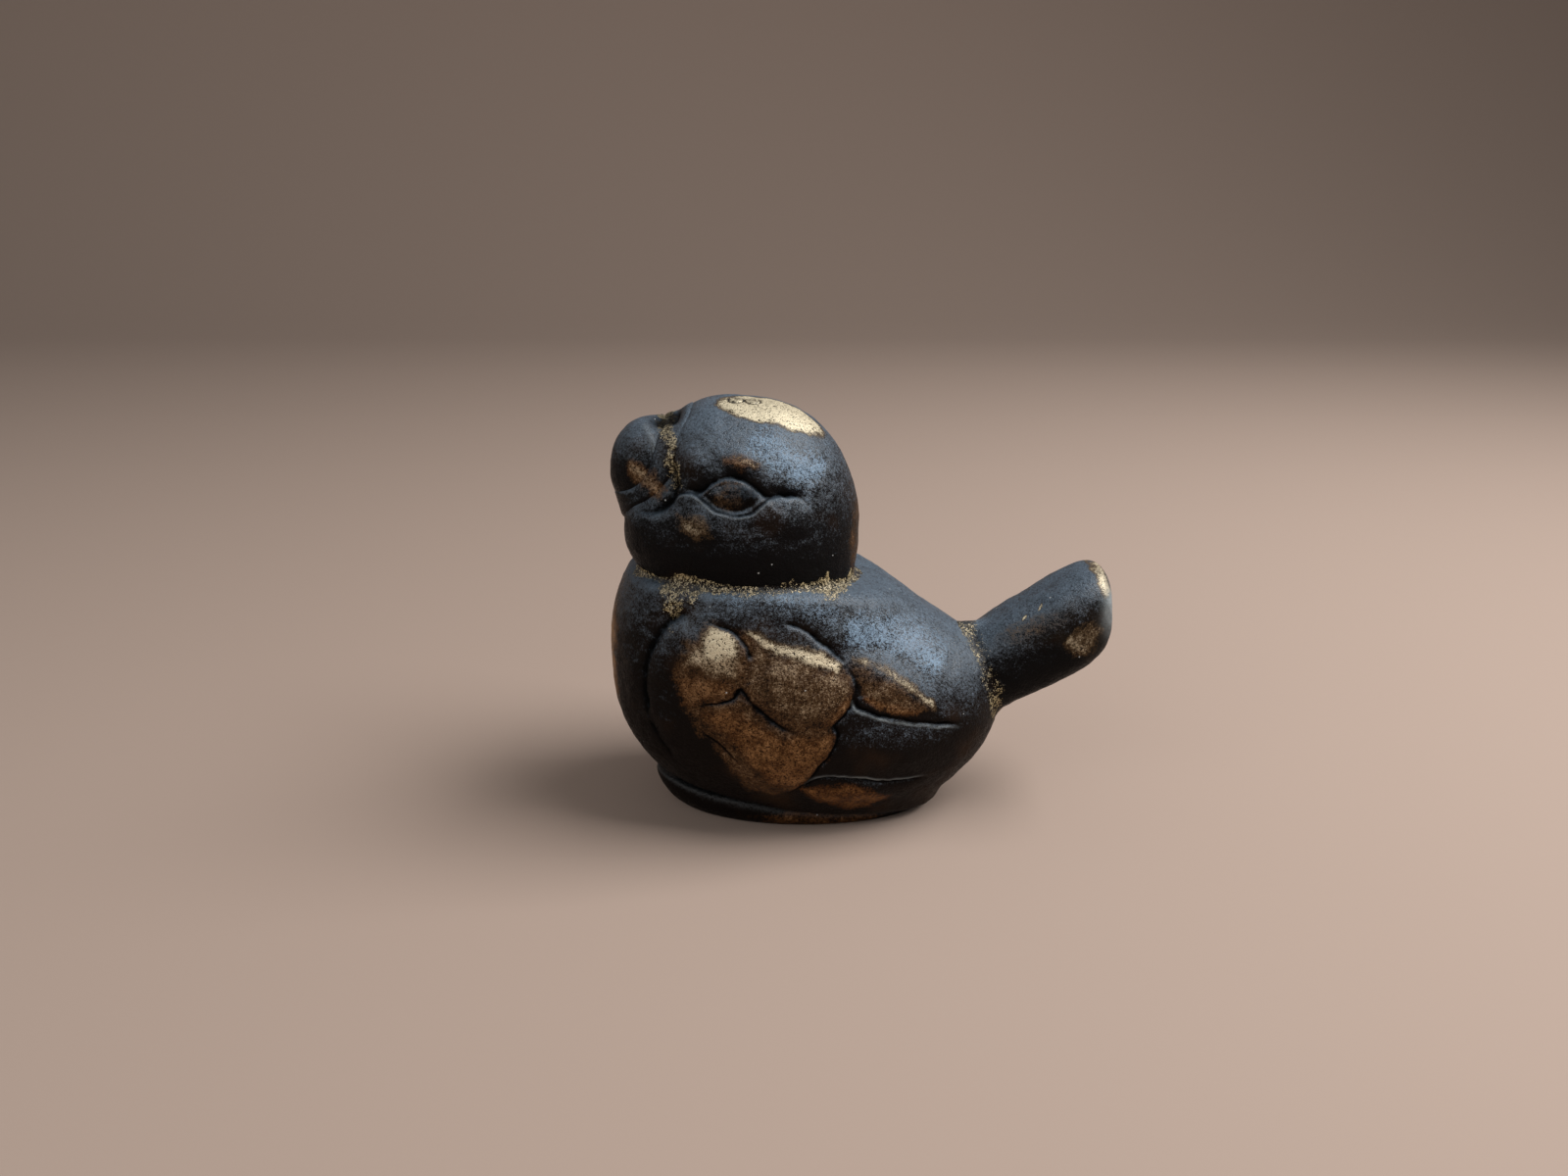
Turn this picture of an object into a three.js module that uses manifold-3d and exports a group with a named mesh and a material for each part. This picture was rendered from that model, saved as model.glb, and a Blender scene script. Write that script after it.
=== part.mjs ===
// Metal bird figurine: a plump little hollow-cast bird with folded wings and a turned-up tail.
// Millimetres. The bird faces -X, its left side is -Y, +Z is up and it stands on Z = 0.
import * as THREE from "three";
import { mergeVertices } from "three/addons/utils/BufferGeometryUtils.js";
import Module from "manifold-3d";

// Casting skin and clearances
const CAST_WALL = 2.8;
const CORE_ROUNDING = 1.0;
const SEAT_GAP = 0.3;
const PLUG_GAP = 0.15;

// Body: a full breast blended into a rump that narrows towards the tail
const CHEST_X = -12.9;
const CHEST_LIFT = 19.9;
const CHEST_LENGTH = 34.0;
const CHEST_WIDTH = 30.0;
const CHEST_HEIGHT = 35.8;
const CHEST_FULLNESS = 2.3;
const RUMP_SETBACK = 14.0;
const RUMP_DROP = 7.2;
const RUMP_LENGTH = 31.6;
const RUMP_WIDTH = 25.0;
const RUMP_HEIGHT = 22.7;
const RUMP_TILT = 8.5;
const RUMP_FULLNESS = 2.2;
const BODY_BLEND = 9.8;

// Foot: the low swelling on which the rump comes down to the base
const FOOT_SETBACK = 10.6;
const FOOT_LIFT = 2.0;
const FOOT_LENGTH = 23.0;
const FOOT_WIDTH = 16.0;
const FOOT_HEIGHT = 6.4;
const FOOT_FULLNESS = 2.5;
const FOOT_BLEND = 3.0;

// Head: a high skull, a forehead above the beak and a square jaw under it
const NECK_HEIGHT = 30.7;
const NECK_ROUNDING = 1.0;
const NAPE_ROUNDING = 1.0;
const SKULL_RISE = 3.8;
const SKULL_LENGTH = 25.1;
const SKULL_WIDTH = 24.4;
const SKULL_HEIGHT = 31.0;
const SKULL_FULLNESS = 2.1;
const FOREHEAD_REACH = 4.5;
const FOREHEAD_RISE = 8.4;
const FOREHEAD_LENGTH = 11.2;
const FOREHEAD_WIDTH = 17.2;
const FOREHEAD_HEIGHT = 12.9;
const JAW_REACH = 5.7;
const JAW_RISE = 1.1;
const JAW_LENGTH = 18.0;
const JAW_WIDTH = 18.4;
const JAW_HEIGHT = 11.3;
const JAW_FULLNESS = 2.8;
const HEAD_BLEND = 3.0;

// Beak: a blunt bulb on the front of the head
const BEAK_REACH = 9.9;
const BEAK_RISE = 7.5;
const BEAK_LENGTH = 12.8;
const BEAK_WIDTH = 11.6;
const BEAK_HEIGHT = 12.6;
const BEAK_FULLNESS = 2.2;

// Tail: a thick paddle that flares towards its rounded end, which leans back at the top
const TAIL_REACH = 19.1;
const TAIL_RISE = 7.4;
const TAIL_TILT = 30.7;
const TAIL_LENGTH = 22.0;
const TAIL_WIDTH = 11.6;
const TAIL_THICKNESS = 10.6;
const TAIL_FLARE = 0.1;
const TAIL_LEAN = 0.47;
const TAIL_SQUARENESS = 2.6;
const TAIL_END_SQUARENESS = 4.0;

// Base: an oval closing plate, thicker under the breast, where its lip leans out over the rest face
const BASE_LENGTH = 32.8;
const BASE_WIDTH = 18.6;
const BASE_SHIFT = 6.0;
const BASE_HEIGHT = 2.3;
const BASE_SLOPE = 0.1;
const BASE_LEAN = 0.6;
const BASE_ROUNDING = 1.0;
const BASE_BOSS_HEIGHT = 2.4;
const BASE_BOSS_INSET = 3.6;
const BODY_HEEL_ROUNDING = 1.0;

// Joints: round spigots and tenons in bores, hidden once the bird is together
const NECK_SPIGOT_RADIUS = 7.0;
const NECK_SPIGOT_DEPTH = 3.2;
const NECK_VENT_RADIUS = 4.6;
const BEAK_TENON_RADIUS = 2.6;
const BEAK_TENON_DEPTH = 4.4;
const TAIL_TENON_RADIUS = 3.0;
const TAIL_TENON_DEPTH = 5.4;
const SPIGOT_SIDES = 32;
const TENON_SIDES = 24;

// Brazed seams: the filler in the crease between two castings
const NECK_BEAD = 1.2;
const TAIL_BEAD = 1.2;
const BEAK_BEAD = 1.0;
const BEAD_STATIONS = 36;
const BEAD_SIDES = 7;
const BEAK_PIT_WIDTH = 4.4;
const TAIL_LUMP_RADIUS = 1.2;
const TAIL_LUMP_SIDES = 12;

// Core pins, cut flush with the crown
const PLUG_RADIUS = 0.85;
const PLUG_LENGTH = 3.4;
const PLUG_SPACING = 1.9;
const PLUG_SETFORWARD = 0.7;
const PLUG_SIDE = 1.8;
const PLUG_SIDES = 20;

// Wing: the point its carving is drawn from
const WING_SETBACK = 0.9;
const WING_DROP = 1.3;

// Eye: an almond between two lids, with a domed eyeball
const EYE_FORWARD = 1.7;
const EYE_RISE = 6.5;
const EYE_LENGTH = 7.0;
const EYE_HEIGHT = 3.8;
const EYEBALL_DOME = 0.75;
const EYE_SINK = 0.7;
const IRIS_RADIUS = 1.7;
const IRIS_RELIEF = 0.14;
const IRIS_LINE = 0.3;

// How the relief dies away where the side of the bird turns towards its back and belly
const RELIEF_FADE_FROM = 0.12;
const RELIEF_FADE_TO = 0.45;
const NECK_RELIEF_MARGIN = 2.6;

// Fineness of the cast surfaces: the divisions of the ball they start from and the largest chord error
const BODY_SKIN = { start: 11, tolerance: 0.14 };
const HEAD_SKIN = { start: 10, tolerance: 0.1 };
const BEAK_SKIN = { start: 6, tolerance: 0.1 };
const TAIL_SKIN = { start: 5, tolerance: 0.2 };
const BODY_CLEARANCE = { start: 7, tolerance: 0.25 };
const HEAD_CLEARANCE = { start: 6, tolerance: 0.18 };
const SMALL_CLEARANCE = { start: 5, tolerance: 0.18 };
const INNER_CORE = { start: 5, tolerance: 0.25 };
const SHORTEST_EDGE = 0.5;
const MOST_PASSES = 3;
const PATH_STEPS = 8;
const PLATE_SEGMENTS = 16;
const LIP_SEGMENTS = 2;

// Patinated metal
const PATINA = { color: 0x2b2723, roughness: 0.45 };
const DULL_PATINA = { color: 0x2b2723, roughness: 0.55 };
const RUBBED_BRASS = { color: 0x9a7a3c, roughness: 0.35 };
const BRAZE = { color: 0x4c4128, roughness: 0.8 };

const wasm = await Module();
wasm.setup();

const vector = (x, y, z) => new THREE.Vector3(x, y, z);
const halfOf = (length, width, height) => vector(length / 2, width / 2, height / 2);

// Places that follow from the driving sizes
const CHEST = vector(CHEST_X, 0, CHEST_LIFT);
const RUMP = vector(CHEST_X + RUMP_SETBACK, 0, CHEST_LIFT - RUMP_DROP);
const FOOT = vector(CHEST_X + FOOT_SETBACK, 0, FOOT_LIFT);
const WING = vector(CHEST_X + WING_SETBACK, 0, CHEST_LIFT - WING_DROP);
const SKULL = vector(CHEST_X, 0, NECK_HEIGHT + SKULL_RISE);
const FOREHEAD = vector(SKULL.x - FOREHEAD_REACH, 0, SKULL.z + FOREHEAD_RISE);
const JAW = vector(SKULL.x - JAW_REACH, 0, SKULL.z + JAW_RISE);
const BEAK = vector(SKULL.x - BEAK_REACH, 0, SKULL.z + BEAK_RISE);
const TAIL = vector(RUMP.x + TAIL_REACH, 0, RUMP.z + TAIL_RISE);
const BASE = vector(CHEST_X + BASE_SHIFT, 0, 0);
const NECK = vector(SKULL.x, 0, NECK_HEIGHT);

// A superellipsoid tilted about Y, as a field that is negative inside and grows like a distance.
// Its cross-section has one squareness and its ends another. It may flare along its length, and its
// ends may lean, so that the upper side lies further along the axis than the lower.
function egg(centre, radii, { tilt = 0, section = 2, ends = section, flare = 0, lean = 0 } = {}) {
  const turn = THREE.MathUtils.degToRad(tilt);
  const cos = Math.cos(turn);
  const sin = Math.sin(turn);
  return (p) => {
    const dx = p.x - centre.x;
    const dz = p.z - centre.z;
    const rise = dz * cos - dx * sin;
    const along = (dx * cos + dz * sin - lean * rise) / radii.x;
    const swell = 1 + flare * THREE.MathUtils.clamp(along, -1.5, 1.5);
    const across = Math.abs(p.y - centre.y) / (radii.y * swell);
    const up = Math.abs(rise) / (radii.z * swell);
    const ring = (across ** section + up ** section) ** (1 / section) + 1e-9;
    const size = (Math.abs(along) ** ends + ring ** ends) ** (1 / ends);
    const ringShare = (ring / size) ** (ends - 1);
    const slope = Math.hypot(
      (Math.abs(along) / size) ** (ends - 1) / radii.x,
      (ringShare * (across / ring) ** (section - 1)) / radii.y,
      (ringShare * (up / ring) ** (section - 1)) / radii.z,
    );
    return (size - 1) / slope;
  };
}

function softMin(a, b, blend) {
  const near = Math.max(blend - Math.abs(a - b), 0);
  return Math.min(a, b) - (near * near) / (4 * blend);
}

const softMax = (a, b, blend) => -softMin(-a, -b, blend);
const blend = (first, second, width) => (p) => softMin(first(p), second(p), width);

// The top of the base plate, where the body sits, falls towards the rear.
const baseTop = (x) => BASE_HEIGHT - BASE_SLOPE * (x - BASE.x);

const chest = egg(CHEST, halfOf(CHEST_LENGTH, CHEST_WIDTH, CHEST_HEIGHT), { section: CHEST_FULLNESS });
const rump = egg(RUMP, halfOf(RUMP_LENGTH, RUMP_WIDTH, RUMP_HEIGHT), {
  tilt: RUMP_TILT,
  section: RUMP_FULLNESS,
});
const torso = blend(chest, rump, BODY_BLEND);
const foot = egg(FOOT, halfOf(FOOT_LENGTH, FOOT_WIDTH, FOOT_HEIGHT), { section: FOOT_FULLNESS });
const standing = blend(torso, foot, FOOT_BLEND);

// The torso and its foot between two flat seats, under the head and on the base plate.
function bodyForm(p) {
  const underHead = softMax(standing(p), p.z - (NECK.z - SEAT_GAP / 2), NAPE_ROUNDING);
  return softMax(underHead, baseTop(p.x) + SEAT_GAP - p.z, BODY_HEEL_ROUNDING);
}

const skull = egg(SKULL, halfOf(SKULL_LENGTH, SKULL_WIDTH, SKULL_HEIGHT), { section: SKULL_FULLNESS });
const forehead = egg(FOREHEAD, halfOf(FOREHEAD_LENGTH, FOREHEAD_WIDTH, FOREHEAD_HEIGHT));
const jaw = egg(JAW, halfOf(JAW_LENGTH, JAW_WIDTH, JAW_HEIGHT), { section: JAW_FULLNESS });
const cranium = blend(blend(skull, forehead, HEAD_BLEND), jaw, HEAD_BLEND);

// The head ends in a flat seat with a rounded edge.
const headForm = (p) => softMax(cranium(p), NECK.z + SEAT_GAP / 2 - p.z, NECK_ROUNDING);

const beakForm = egg(BEAK, halfOf(BEAK_LENGTH, BEAK_WIDTH, BEAK_HEIGHT), { section: BEAK_FULLNESS });

const tailForm = egg(TAIL, halfOf(TAIL_LENGTH, TAIL_WIDTH, TAIL_THICKNESS), {
  tilt: TAIL_TILT,
  section: TAIL_SQUARENESS,
  ends: TAIL_END_SQUARENESS,
  flare: TAIL_FLARE,
  lean: TAIL_LEAN,
});

// A crease in the relief follows a smooth path on the side of the bird, drawn from the left.
// The metal on the left of the path stands up to a lip, and on its right it sinks and recovers.
function crease(origin, path, { lift, lip, drop, sink, bite, fadeIn = 0.2, fadeOut = 0.2 }) {
  const points = new THREE.SplineCurve(path.map(([x, z]) => new THREE.Vector2(origin.x + x, origin.z + z)));
  const samples = points.getPoints(PATH_STEPS * (path.length - 1));
  const box = new THREE.Box2().setFromPoints(samples).expandByScalar(4 * Math.max(lip, sink));
  const at = new THREE.Vector2();
  return (x, z) => {
    at.set(x, z);
    if (!box.containsPoint(at)) return 0;
    let nearest = Infinity;
    let side = 1;
    let share = 0;
    for (let i = 0; i + 1 < samples.length; i++) {
      const from = samples[i];
      const run = samples[i + 1].clone().sub(from);
      const offset = at.clone().sub(from);
      const t = THREE.MathUtils.clamp(offset.dot(run) / run.lengthSq(), 0, 1);
      const distance = offset.addScaledVector(run, -t).length();
      if (distance < nearest) {
        nearest = distance;
        side = Math.sign(run.cross(offset)) || 1;
        share = (i + t) / (samples.length - 1);
      }
    }
    const strength =
      THREE.MathUtils.smoothstep(share, 0, fadeIn) * THREE.MathUtils.smoothstep(1 - share, 0, fadeOut);
    const height =
      side > 0
        ? lift * Math.exp(-nearest / lip) - (lift + drop) * Math.exp(-nearest / bite)
        : -drop * Math.exp(-nearest / sink);
    return strength * height;
  };
}

// A soft oval swelling on the side of the bird.
function swelling(origin, [x, z], [length, width], turn, height) {
  const angle = THREE.MathUtils.degToRad(turn);
  const cos = Math.cos(angle);
  const sin = Math.sin(angle);
  return (px, pz) => {
    const dx = px - origin.x - x;
    const dz = pz - origin.z - z;
    const along = (2 * (dx * cos + dz * sin)) / length;
    const across = (2 * (dz * cos - dx * sin)) / width;
    const inside = Math.max(1 - along * along - across * across, 0);
    return height * inside * inside;
  };
}

// Folded wing: a raised front edge, three scale-like coverts and three long flight feathers.
const FRONT_EDGE = { lift: 0.8, lip: 5.0, drop: 0.7, sink: 1.6, bite: 1.1, fadeIn: 0.1, fadeOut: 0.35 };
const FEATHER_EDGE = { lift: 0.5, lip: 2.6, drop: 0.65, sink: 1.3, bite: 0.8 };
const FLIGHT_EDGE = { lift: 0.5, lip: 2.0, drop: 0.65, sink: 1.2, bite: 0.8, fadeIn: 0.08 };
const SOFT_FOLD = { lift: 0.3, lip: 2.0, drop: 0.5, sink: 1.6, bite: 1.2, fadeIn: 0.35, fadeOut: 0.35 };
const wingFront = crease(
  WING,
  [[-7.2, 10.0], [-10.2, 8.2], [-12.1, 5.0], [-12.9, 0.8], [-12.3, -3.6], [-10.2, -7.6], [-6.4, -12.0]],
  FRONT_EDGE,
);
const shoulderCovert = [
  crease(WING, [[-0.7, 4.6], [-1.6, 6.9], [-3.2, 8.0], [-6.2, 9.1]], FEATHER_EDGE),
  crease(WING, [[-6.4, -0.4], [-4.3, 0.1], [-2.8, 0.6], [-2.0, 1.9]], { ...FEATHER_EDGE, fadeOut: 0.05 }),
  swelling(WING, [-5.6, 4.4], [12, 13], 0, 0.5),
];
const backCovert = [
  crease(WING, [[9.6, 4.2], [7.3, 6.3], [5.2, 7.8], [2.9, 8.9]], { ...FEATHER_EDGE, fadeIn: 0.1 }),
  crease(
    WING,
    [[-2.0, 1.9], [-0.8, 0.1], [0.9, -1.4], [3.0, -2.9], [5.6, -3.5]],
    { ...FEATHER_EDGE, fadeIn: 0.05, fadeOut: 0.5 },
  ),
  swelling(WING, [4.4, 2.0], [17, 12], -28, 0.7),
];
const lowerCovert = [
  crease(
    WING,
    [[2.0, -13.3], [5.4, -10.1], [8.2, -6.2], [9.1, -3.9], [8.6, -2.5], [10.4, 0.2], [10.9, 2.2], [9.6, 4.2]],
    FEATHER_EDGE,
  ),
  crease(WING, [[-2.2, -7.8], [-4.3, -6.0], [-6.5, -4.4], [-8.4, -2.9]], SOFT_FOLD),
  swelling(WING, [2.0, -7.2], [15, 12], 30, 0.6),
];
const flightFeathers = [
  crease(
    WING,
    [[10.6, 0.6], [11.3, -0.8], [13.0, -1.8], [15.0, -2.6], [18.2, -3.5], [23.5, -4.9]],
    FLIGHT_EDGE,
  ),
  crease(
    WING,
    [[5.3, -10.7], [6.4, -9.2], [8.0, -8.6], [10.8, -9.5], [14.5, -10.5], [19.8, -10.8]],
    FLIGHT_EDGE,
  ),
  swelling(WING, [14.6, 1.4], [15, 6], -32, 0.7),
  swelling(WING, [14.6, -6.4], [19, 7], -9, 0.5),
  swelling(WING, [12.0, -12.2], [15, 4.4], -3, 0.5),
];
const wing = [wingFront, ...shoulderCovert, ...backCovert, ...lowerCovert, ...flightFeathers];

// Face: a brow that overhangs the eye, a lid and cheek under it, and the eyeball between them.
const EYE = vector(SKULL.x - EYE_FORWARD, 0, SKULL.z + EYE_RISE);
const brow = crease(
  EYE,
  [
    [7.9, -0.7],
    [6.4, 0.1],
    [3.9, 0.4],
    [1.9, 1.7],
    [0.2, 2.1],
    [-1.6, 1.8],
    [-3.3, 0.9],
    [-5.4, 0.4],
    [-7.4, -0.9],
  ],
  { lift: 0.7, lip: 2.6, drop: 0.7, sink: 0.9, bite: 0.55, fadeIn: 0.12, fadeOut: 0.1 },
);
const lowerLid = crease(
  EYE,
  [[-4.4, 0.0], [-2.6, -1.3], [-1.2, -2.1], [0.4, -2.4], [2.0, -1.9], [3.2, -0.9], [4.4, 0.2]],
  { lift: 0.35, lip: 1.5, drop: 0.5, sink: 0.8, bite: 0.45 },
);
const cheek = [
  swelling(EYE, [-5.8, -2.6], [7, 6], 20, 0.5),
  swelling(EYE, [5.8, -1.6], [8, 4.4], -8, 0.6),
  swelling(EYE, [0, -6.0], [22, 9], 0, 0.5),
  swelling(EYE, [-4.4, 3.6], [6, 5], 0, 0.35),
];

// The eyeball fills the almond shared by two circles that pass through its corners.
function eyeball(x, z) {
  const bow = (EYE_LENGTH ** 2 + EYE_HEIGHT ** 2) / (4 * EYE_HEIGHT);
  const lower = Math.hypot(x - EYE.x, z - EYE.z - (bow - EYE_HEIGHT / 2));
  const upper = Math.hypot(x - EYE.x, z - EYE.z + (bow - EYE_HEIGHT / 2));
  const depth = THREE.MathUtils.clamp((2 * (bow - Math.max(lower, upper))) / EYE_HEIGHT, 0, 1);
  const fromIris = (Math.hypot(x - EYE.x, z - EYE.z) - IRIS_RADIUS) / IRIS_LINE;
  const groove = IRIS_RELIEF * Math.exp(-fromIris * fromIris);
  return EYEBALL_DOME * Math.sqrt(depth) - EYE_SINK * Math.min(4 * depth, 1) - groove;
}
const face = [brow, lowerLid, ...cheek, eyeball];

// Relief stands on both sides of the bird and fades where the surface stops facing sideways.
function sideRelief(features, fadeNearNeck) {
  return (p, normal) => {
    const facing = THREE.MathUtils.smoothstep(Math.abs(normal.y), RELIEF_FADE_FROM, RELIEF_FADE_TO);
    const clear = THREE.MathUtils.smoothstep(fadeNearNeck(p), SEAT_GAP, NECK_RELIEF_MARGIN);
    if (facing * clear === 0) return 0;
    return facing * clear * features.reduce((sum, feature) => sum + feature(p.x, p.z), 0);
  };
}
const bodyRelief = sideRelief(wing, (p) => Math.min(NECK.z - p.z, p.z - baseTop(p.x)));
const headRelief = sideRelief(face, (p) => p.z - NECK.z);

// A closed cast surface: rays from the centre of an icosphere meet the field, the relief moves the
// points along the normal, and edges are split until their midpoints lie within the tolerance.
function cast(field, centre, { start, tolerance, relief = () => 0, grow = 0 }) {
  const reach = (CHEST_LENGTH + RUMP_LENGTH) / 2;
  const probe = 0.02;
  const slope = (p, axis) => {
    const ahead = p.clone();
    const behind = p.clone();
    ahead[axis] += probe;
    behind[axis] -= probe;
    return field(ahead) - field(behind);
  };
  const surfacePoint = (direction) => {
    let inside = 0;
    let outside = reach;
    const p = vector(0, 0, 0);
    while (outside - inside > 1e-6) {
      const middle = (inside + outside) / 2;
      if (field(p.copy(centre).addScaledVector(direction, middle)) < grow) inside = middle;
      else outside = middle;
    }
    const normal = vector(slope(p, "x"), slope(p, "y"), slope(p, "z")).normalize();
    return p.addScaledVector(normal, relief(p, normal));
  };
  const ball = bare(new THREE.IcosahedronGeometry(1, start));
  const directions = [];
  const points = [];
  for (let i = 0; i < ball.attributes.position.count; i++) {
    directions.push(vector(0, 0, 0).fromBufferAttribute(ball.attributes.position, i).normalize());
    points.push(surfacePoint(directions[i]));
  }
  let faces = [];
  for (let i = 0; i < ball.index.count; i += 3) faces.push([0, 1, 2].map((k) => ball.index.getX(i + k)));
  const middles = new Map();
  const middleOf = (a, b) => {
    const key = Math.min(a, b) + ":" + Math.max(a, b);
    if (middles.has(key)) return middles.get(key);
    let found = -1;
    if (points[a].distanceTo(points[b]) > SHORTEST_EDGE) {
      const direction = directions[a].clone().add(directions[b]).normalize();
      const p = surfacePoint(direction);
      if (p.distanceTo(points[a].clone().lerp(points[b], 0.5)) > tolerance) {
        found = points.length;
        directions.push(direction);
        points.push(p);
      }
    }
    middles.set(key, found);
    return found;
  };
  for (let pass = 0; pass < MOST_PASSES; pass++) {
    faces = faces.flatMap(([a, b, c]) => {
      return split(a, b, c, middleOf(a, b), middleOf(b, c), middleOf(c, a), points);
    });
  }
  return solidFrom(points.flatMap((p) => p.toArray()), faces.flat());
}

// Splits a triangle at the midpoints that its edges were given; -1 stands for an edge left whole.
function split(a, b, c, ab, bc, ca, points) {
  const cuts = [ab, bc, ca].filter((m) => m >= 0).length;
  if (cuts === 0) return [[a, b, c]];
  if (cuts === 3) return [[a, ab, ca], [ab, b, bc], [ca, bc, c], [ab, bc, ca]];
  if (cuts === 1) {
    if (ab < 0) return split(b, c, a, bc, ca, ab, points);
    return [[a, ab, c], [ab, b, c]];
  }
  if (ca >= 0) return split(b, c, a, bc, ca, ab, points);
  const viaStart = points[a].distanceTo(points[bc]) < points[ab].distanceTo(points[c]);
  return viaStart ? [[ab, b, bc], [a, ab, bc], [a, bc, c]] : [[ab, b, bc], [a, ab, c], [ab, bc, c]];
}

// Geometry to solid and back
function bare(geometry) {
  const plain = geometry.clone();
  plain.deleteAttribute("normal");
  plain.deleteAttribute("uv");
  return mergeVertices(plain, 1e-5);
}

function solidFrom(positions, triangles) {
  return new wasm.Manifold(
    new wasm.Mesh({
      numProp: 3,
      vertProperties: new Float32Array(positions),
      triVerts: new Uint32Array(triangles),
    }),
  );
}

function solid(geometry) {
  const merged = bare(geometry);
  return solidFrom(merged.attributes.position.array, merged.index.array);
}

function piece(name, made, metal) {
  const { vertProperties, triVerts } = made.getMesh();
  const geometry = new THREE.BufferGeometry();
  geometry.setAttribute("position", new THREE.BufferAttribute(vertProperties, 3));
  geometry.setIndex(new THREE.BufferAttribute(triVerts, 1));
  geometry.computeVertexNormals();
  const material = new THREE.MeshStandardMaterial({ ...metal, metalness: 1 });
  const mesh = new THREE.Mesh(geometry, material);
  mesh.name = name;
  return mesh;
}

// A round bar between two points.
function bar(from, to, radius, sides = SPIGOT_SIDES) {
  const run = to.clone().sub(from);
  const geometry = new THREE.CylinderGeometry(radius, radius, run.length(), sides);
  const turn = new THREE.Quaternion().setFromUnitVectors(vector(0, 1, 0), run.clone().normalize());
  geometry.applyQuaternion(turn);
  const middle = from.clone().lerp(to, 0.5);
  geometry.translate(middle.x, middle.y, middle.z);
  return solid(geometry);
}

// The largest body of a cut, without the crumbs that the cutting leaves.
function largest(made) {
  return made.decompose().reduce((a, b) => (a.volume() > b.volume() ? a : b));
}

// Axes of the joints
const tailTurn = THREE.MathUtils.degToRad(TAIL_TILT);
const tailAxis = vector(Math.cos(tailTurn), 0, Math.sin(tailTurn));
const tailRoot = TAIL.clone().addScaledVector(tailAxis, -TAIL_LENGTH / 2);
const along = (start, axis, distance) => start.clone().addScaledVector(axis, distance);
const upright = vector(0, 0, 1);
const forward = vector(-1, 0, 0);

// Where a ray from inside a casting comes out through its field.
function exit(field, start, axis) {
  let distance = 0;
  let step = 1;
  while (step > 1e-4) {
    if (field(along(start, axis, distance + step)) < 0) distance += step;
    else step /= 2;
  }
  return along(start, axis, distance);
}

const bodySkin = cast(bodyForm, CHEST, { ...BODY_SKIN, relief: bodyRelief });
const headSkin = cast(headForm, SKULL, { ...HEAD_SKIN, relief: headRelief });
const clearOfBody = cast(bodyForm, CHEST, { ...BODY_CLEARANCE, relief: bodyRelief, grow: SEAT_GAP });
const clearOfHead = cast(headForm, SKULL, { ...HEAD_CLEARANCE, relief: headRelief, grow: SEAT_GAP });
const clearOfBeak = cast(beakForm, BEAK, { ...SMALL_CLEARANCE, grow: SEAT_GAP });
const clearOfTail = cast(tailForm, TAIL, { ...SMALL_CLEARANCE, grow: SEAT_GAP });

const beakSeat = exit(headForm, vector(SKULL.x, 0, BEAK.z), forward);
const tailSeat = exit(bodyForm, tailRoot, tailAxis);

function ovalPlate(length, width, bottom, top) {
  const outline = new THREE.Shape();
  outline.absellipse(BASE.x, 0, length / 2, width / 2, 0, Math.PI * 2);
  const plate = new THREE.ExtrudeGeometry(outline, {
    depth: top - bottom,
    bevelEnabled: false,
    curveSegments: PLATE_SEGMENTS,
  });
  plate.translate(0, 0, bottom);
  return solid(plate);
}

function basePlate() {
  const outline = new THREE.Shape();
  const inset = BASE_ROUNDING * 2;
  outline.absellipse(BASE.x, 0, (BASE_LENGTH - inset) / 2, (BASE_WIDTH - inset) / 2, 0, Math.PI * 2);
  const plate = new THREE.ExtrudeGeometry(outline, {
    depth: BASE_HEIGHT - 2 * BASE_ROUNDING,
    bevelThickness: BASE_ROUNDING,
    bevelSize: BASE_ROUNDING,
    bevelSegments: LIP_SEGMENTS,
    curveSegments: PLATE_SEGMENTS,
  });
  plate.translate(0, 0, BASE_ROUNDING);
  const at = plate.getAttribute("position");
  for (let i = 0; i < at.count; i++) {
    const top = baseTop(at.getX(i)) / (1 - BASE_SLOPE * BASE_LEAN);
    at.setZ(i, (at.getZ(i) / BASE_HEIGHT) * top);
    at.setX(i, at.getX(i) - BASE_LEAN * at.getZ(i));
  }
  const bossLength = BASE_LENGTH - 2 * BASE_BOSS_INSET - 2 * SEAT_GAP;
  const bossWidth = BASE_WIDTH - 2 * BASE_BOSS_INSET - 2 * SEAT_GAP;
  const boss = ovalPlate(bossLength, bossWidth, BASE_ROUNDING, BASE_HEIGHT + BASE_BOSS_HEIGHT);
  return solid(plate).add(boss);
}

function bodyCasting() {
  const core = (p) => softMax(torso(p), p.z - NECK.z, CORE_ROUNDING);
  const hollow = cast(core, CHEST, { ...INNER_CORE, grow: -CAST_WALL });
  const openLength = BASE_LENGTH - 2 * BASE_BOSS_INSET;
  const openWidth = BASE_WIDTH - 2 * BASE_BOSS_INSET;
  const bottomOpening = ovalPlate(openLength, openWidth, 0, CHEST.z);
  const neckBore = bar(CHEST, along(NECK, upright, CAST_WALL), NECK_SPIGOT_RADIUS + SEAT_GAP);
  const tailSocket = bar(
    along(tailSeat, tailAxis, -TAIL_TENON_DEPTH - SEAT_GAP),
    along(tailSeat, tailAxis, CAST_WALL),
    TAIL_TENON_RADIUS + SEAT_GAP,
    TENON_SIDES,
  );
  return bodySkin.subtract(hollow).subtract(bottomOpening).subtract(neckBore).subtract(tailSocket);
}

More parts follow.
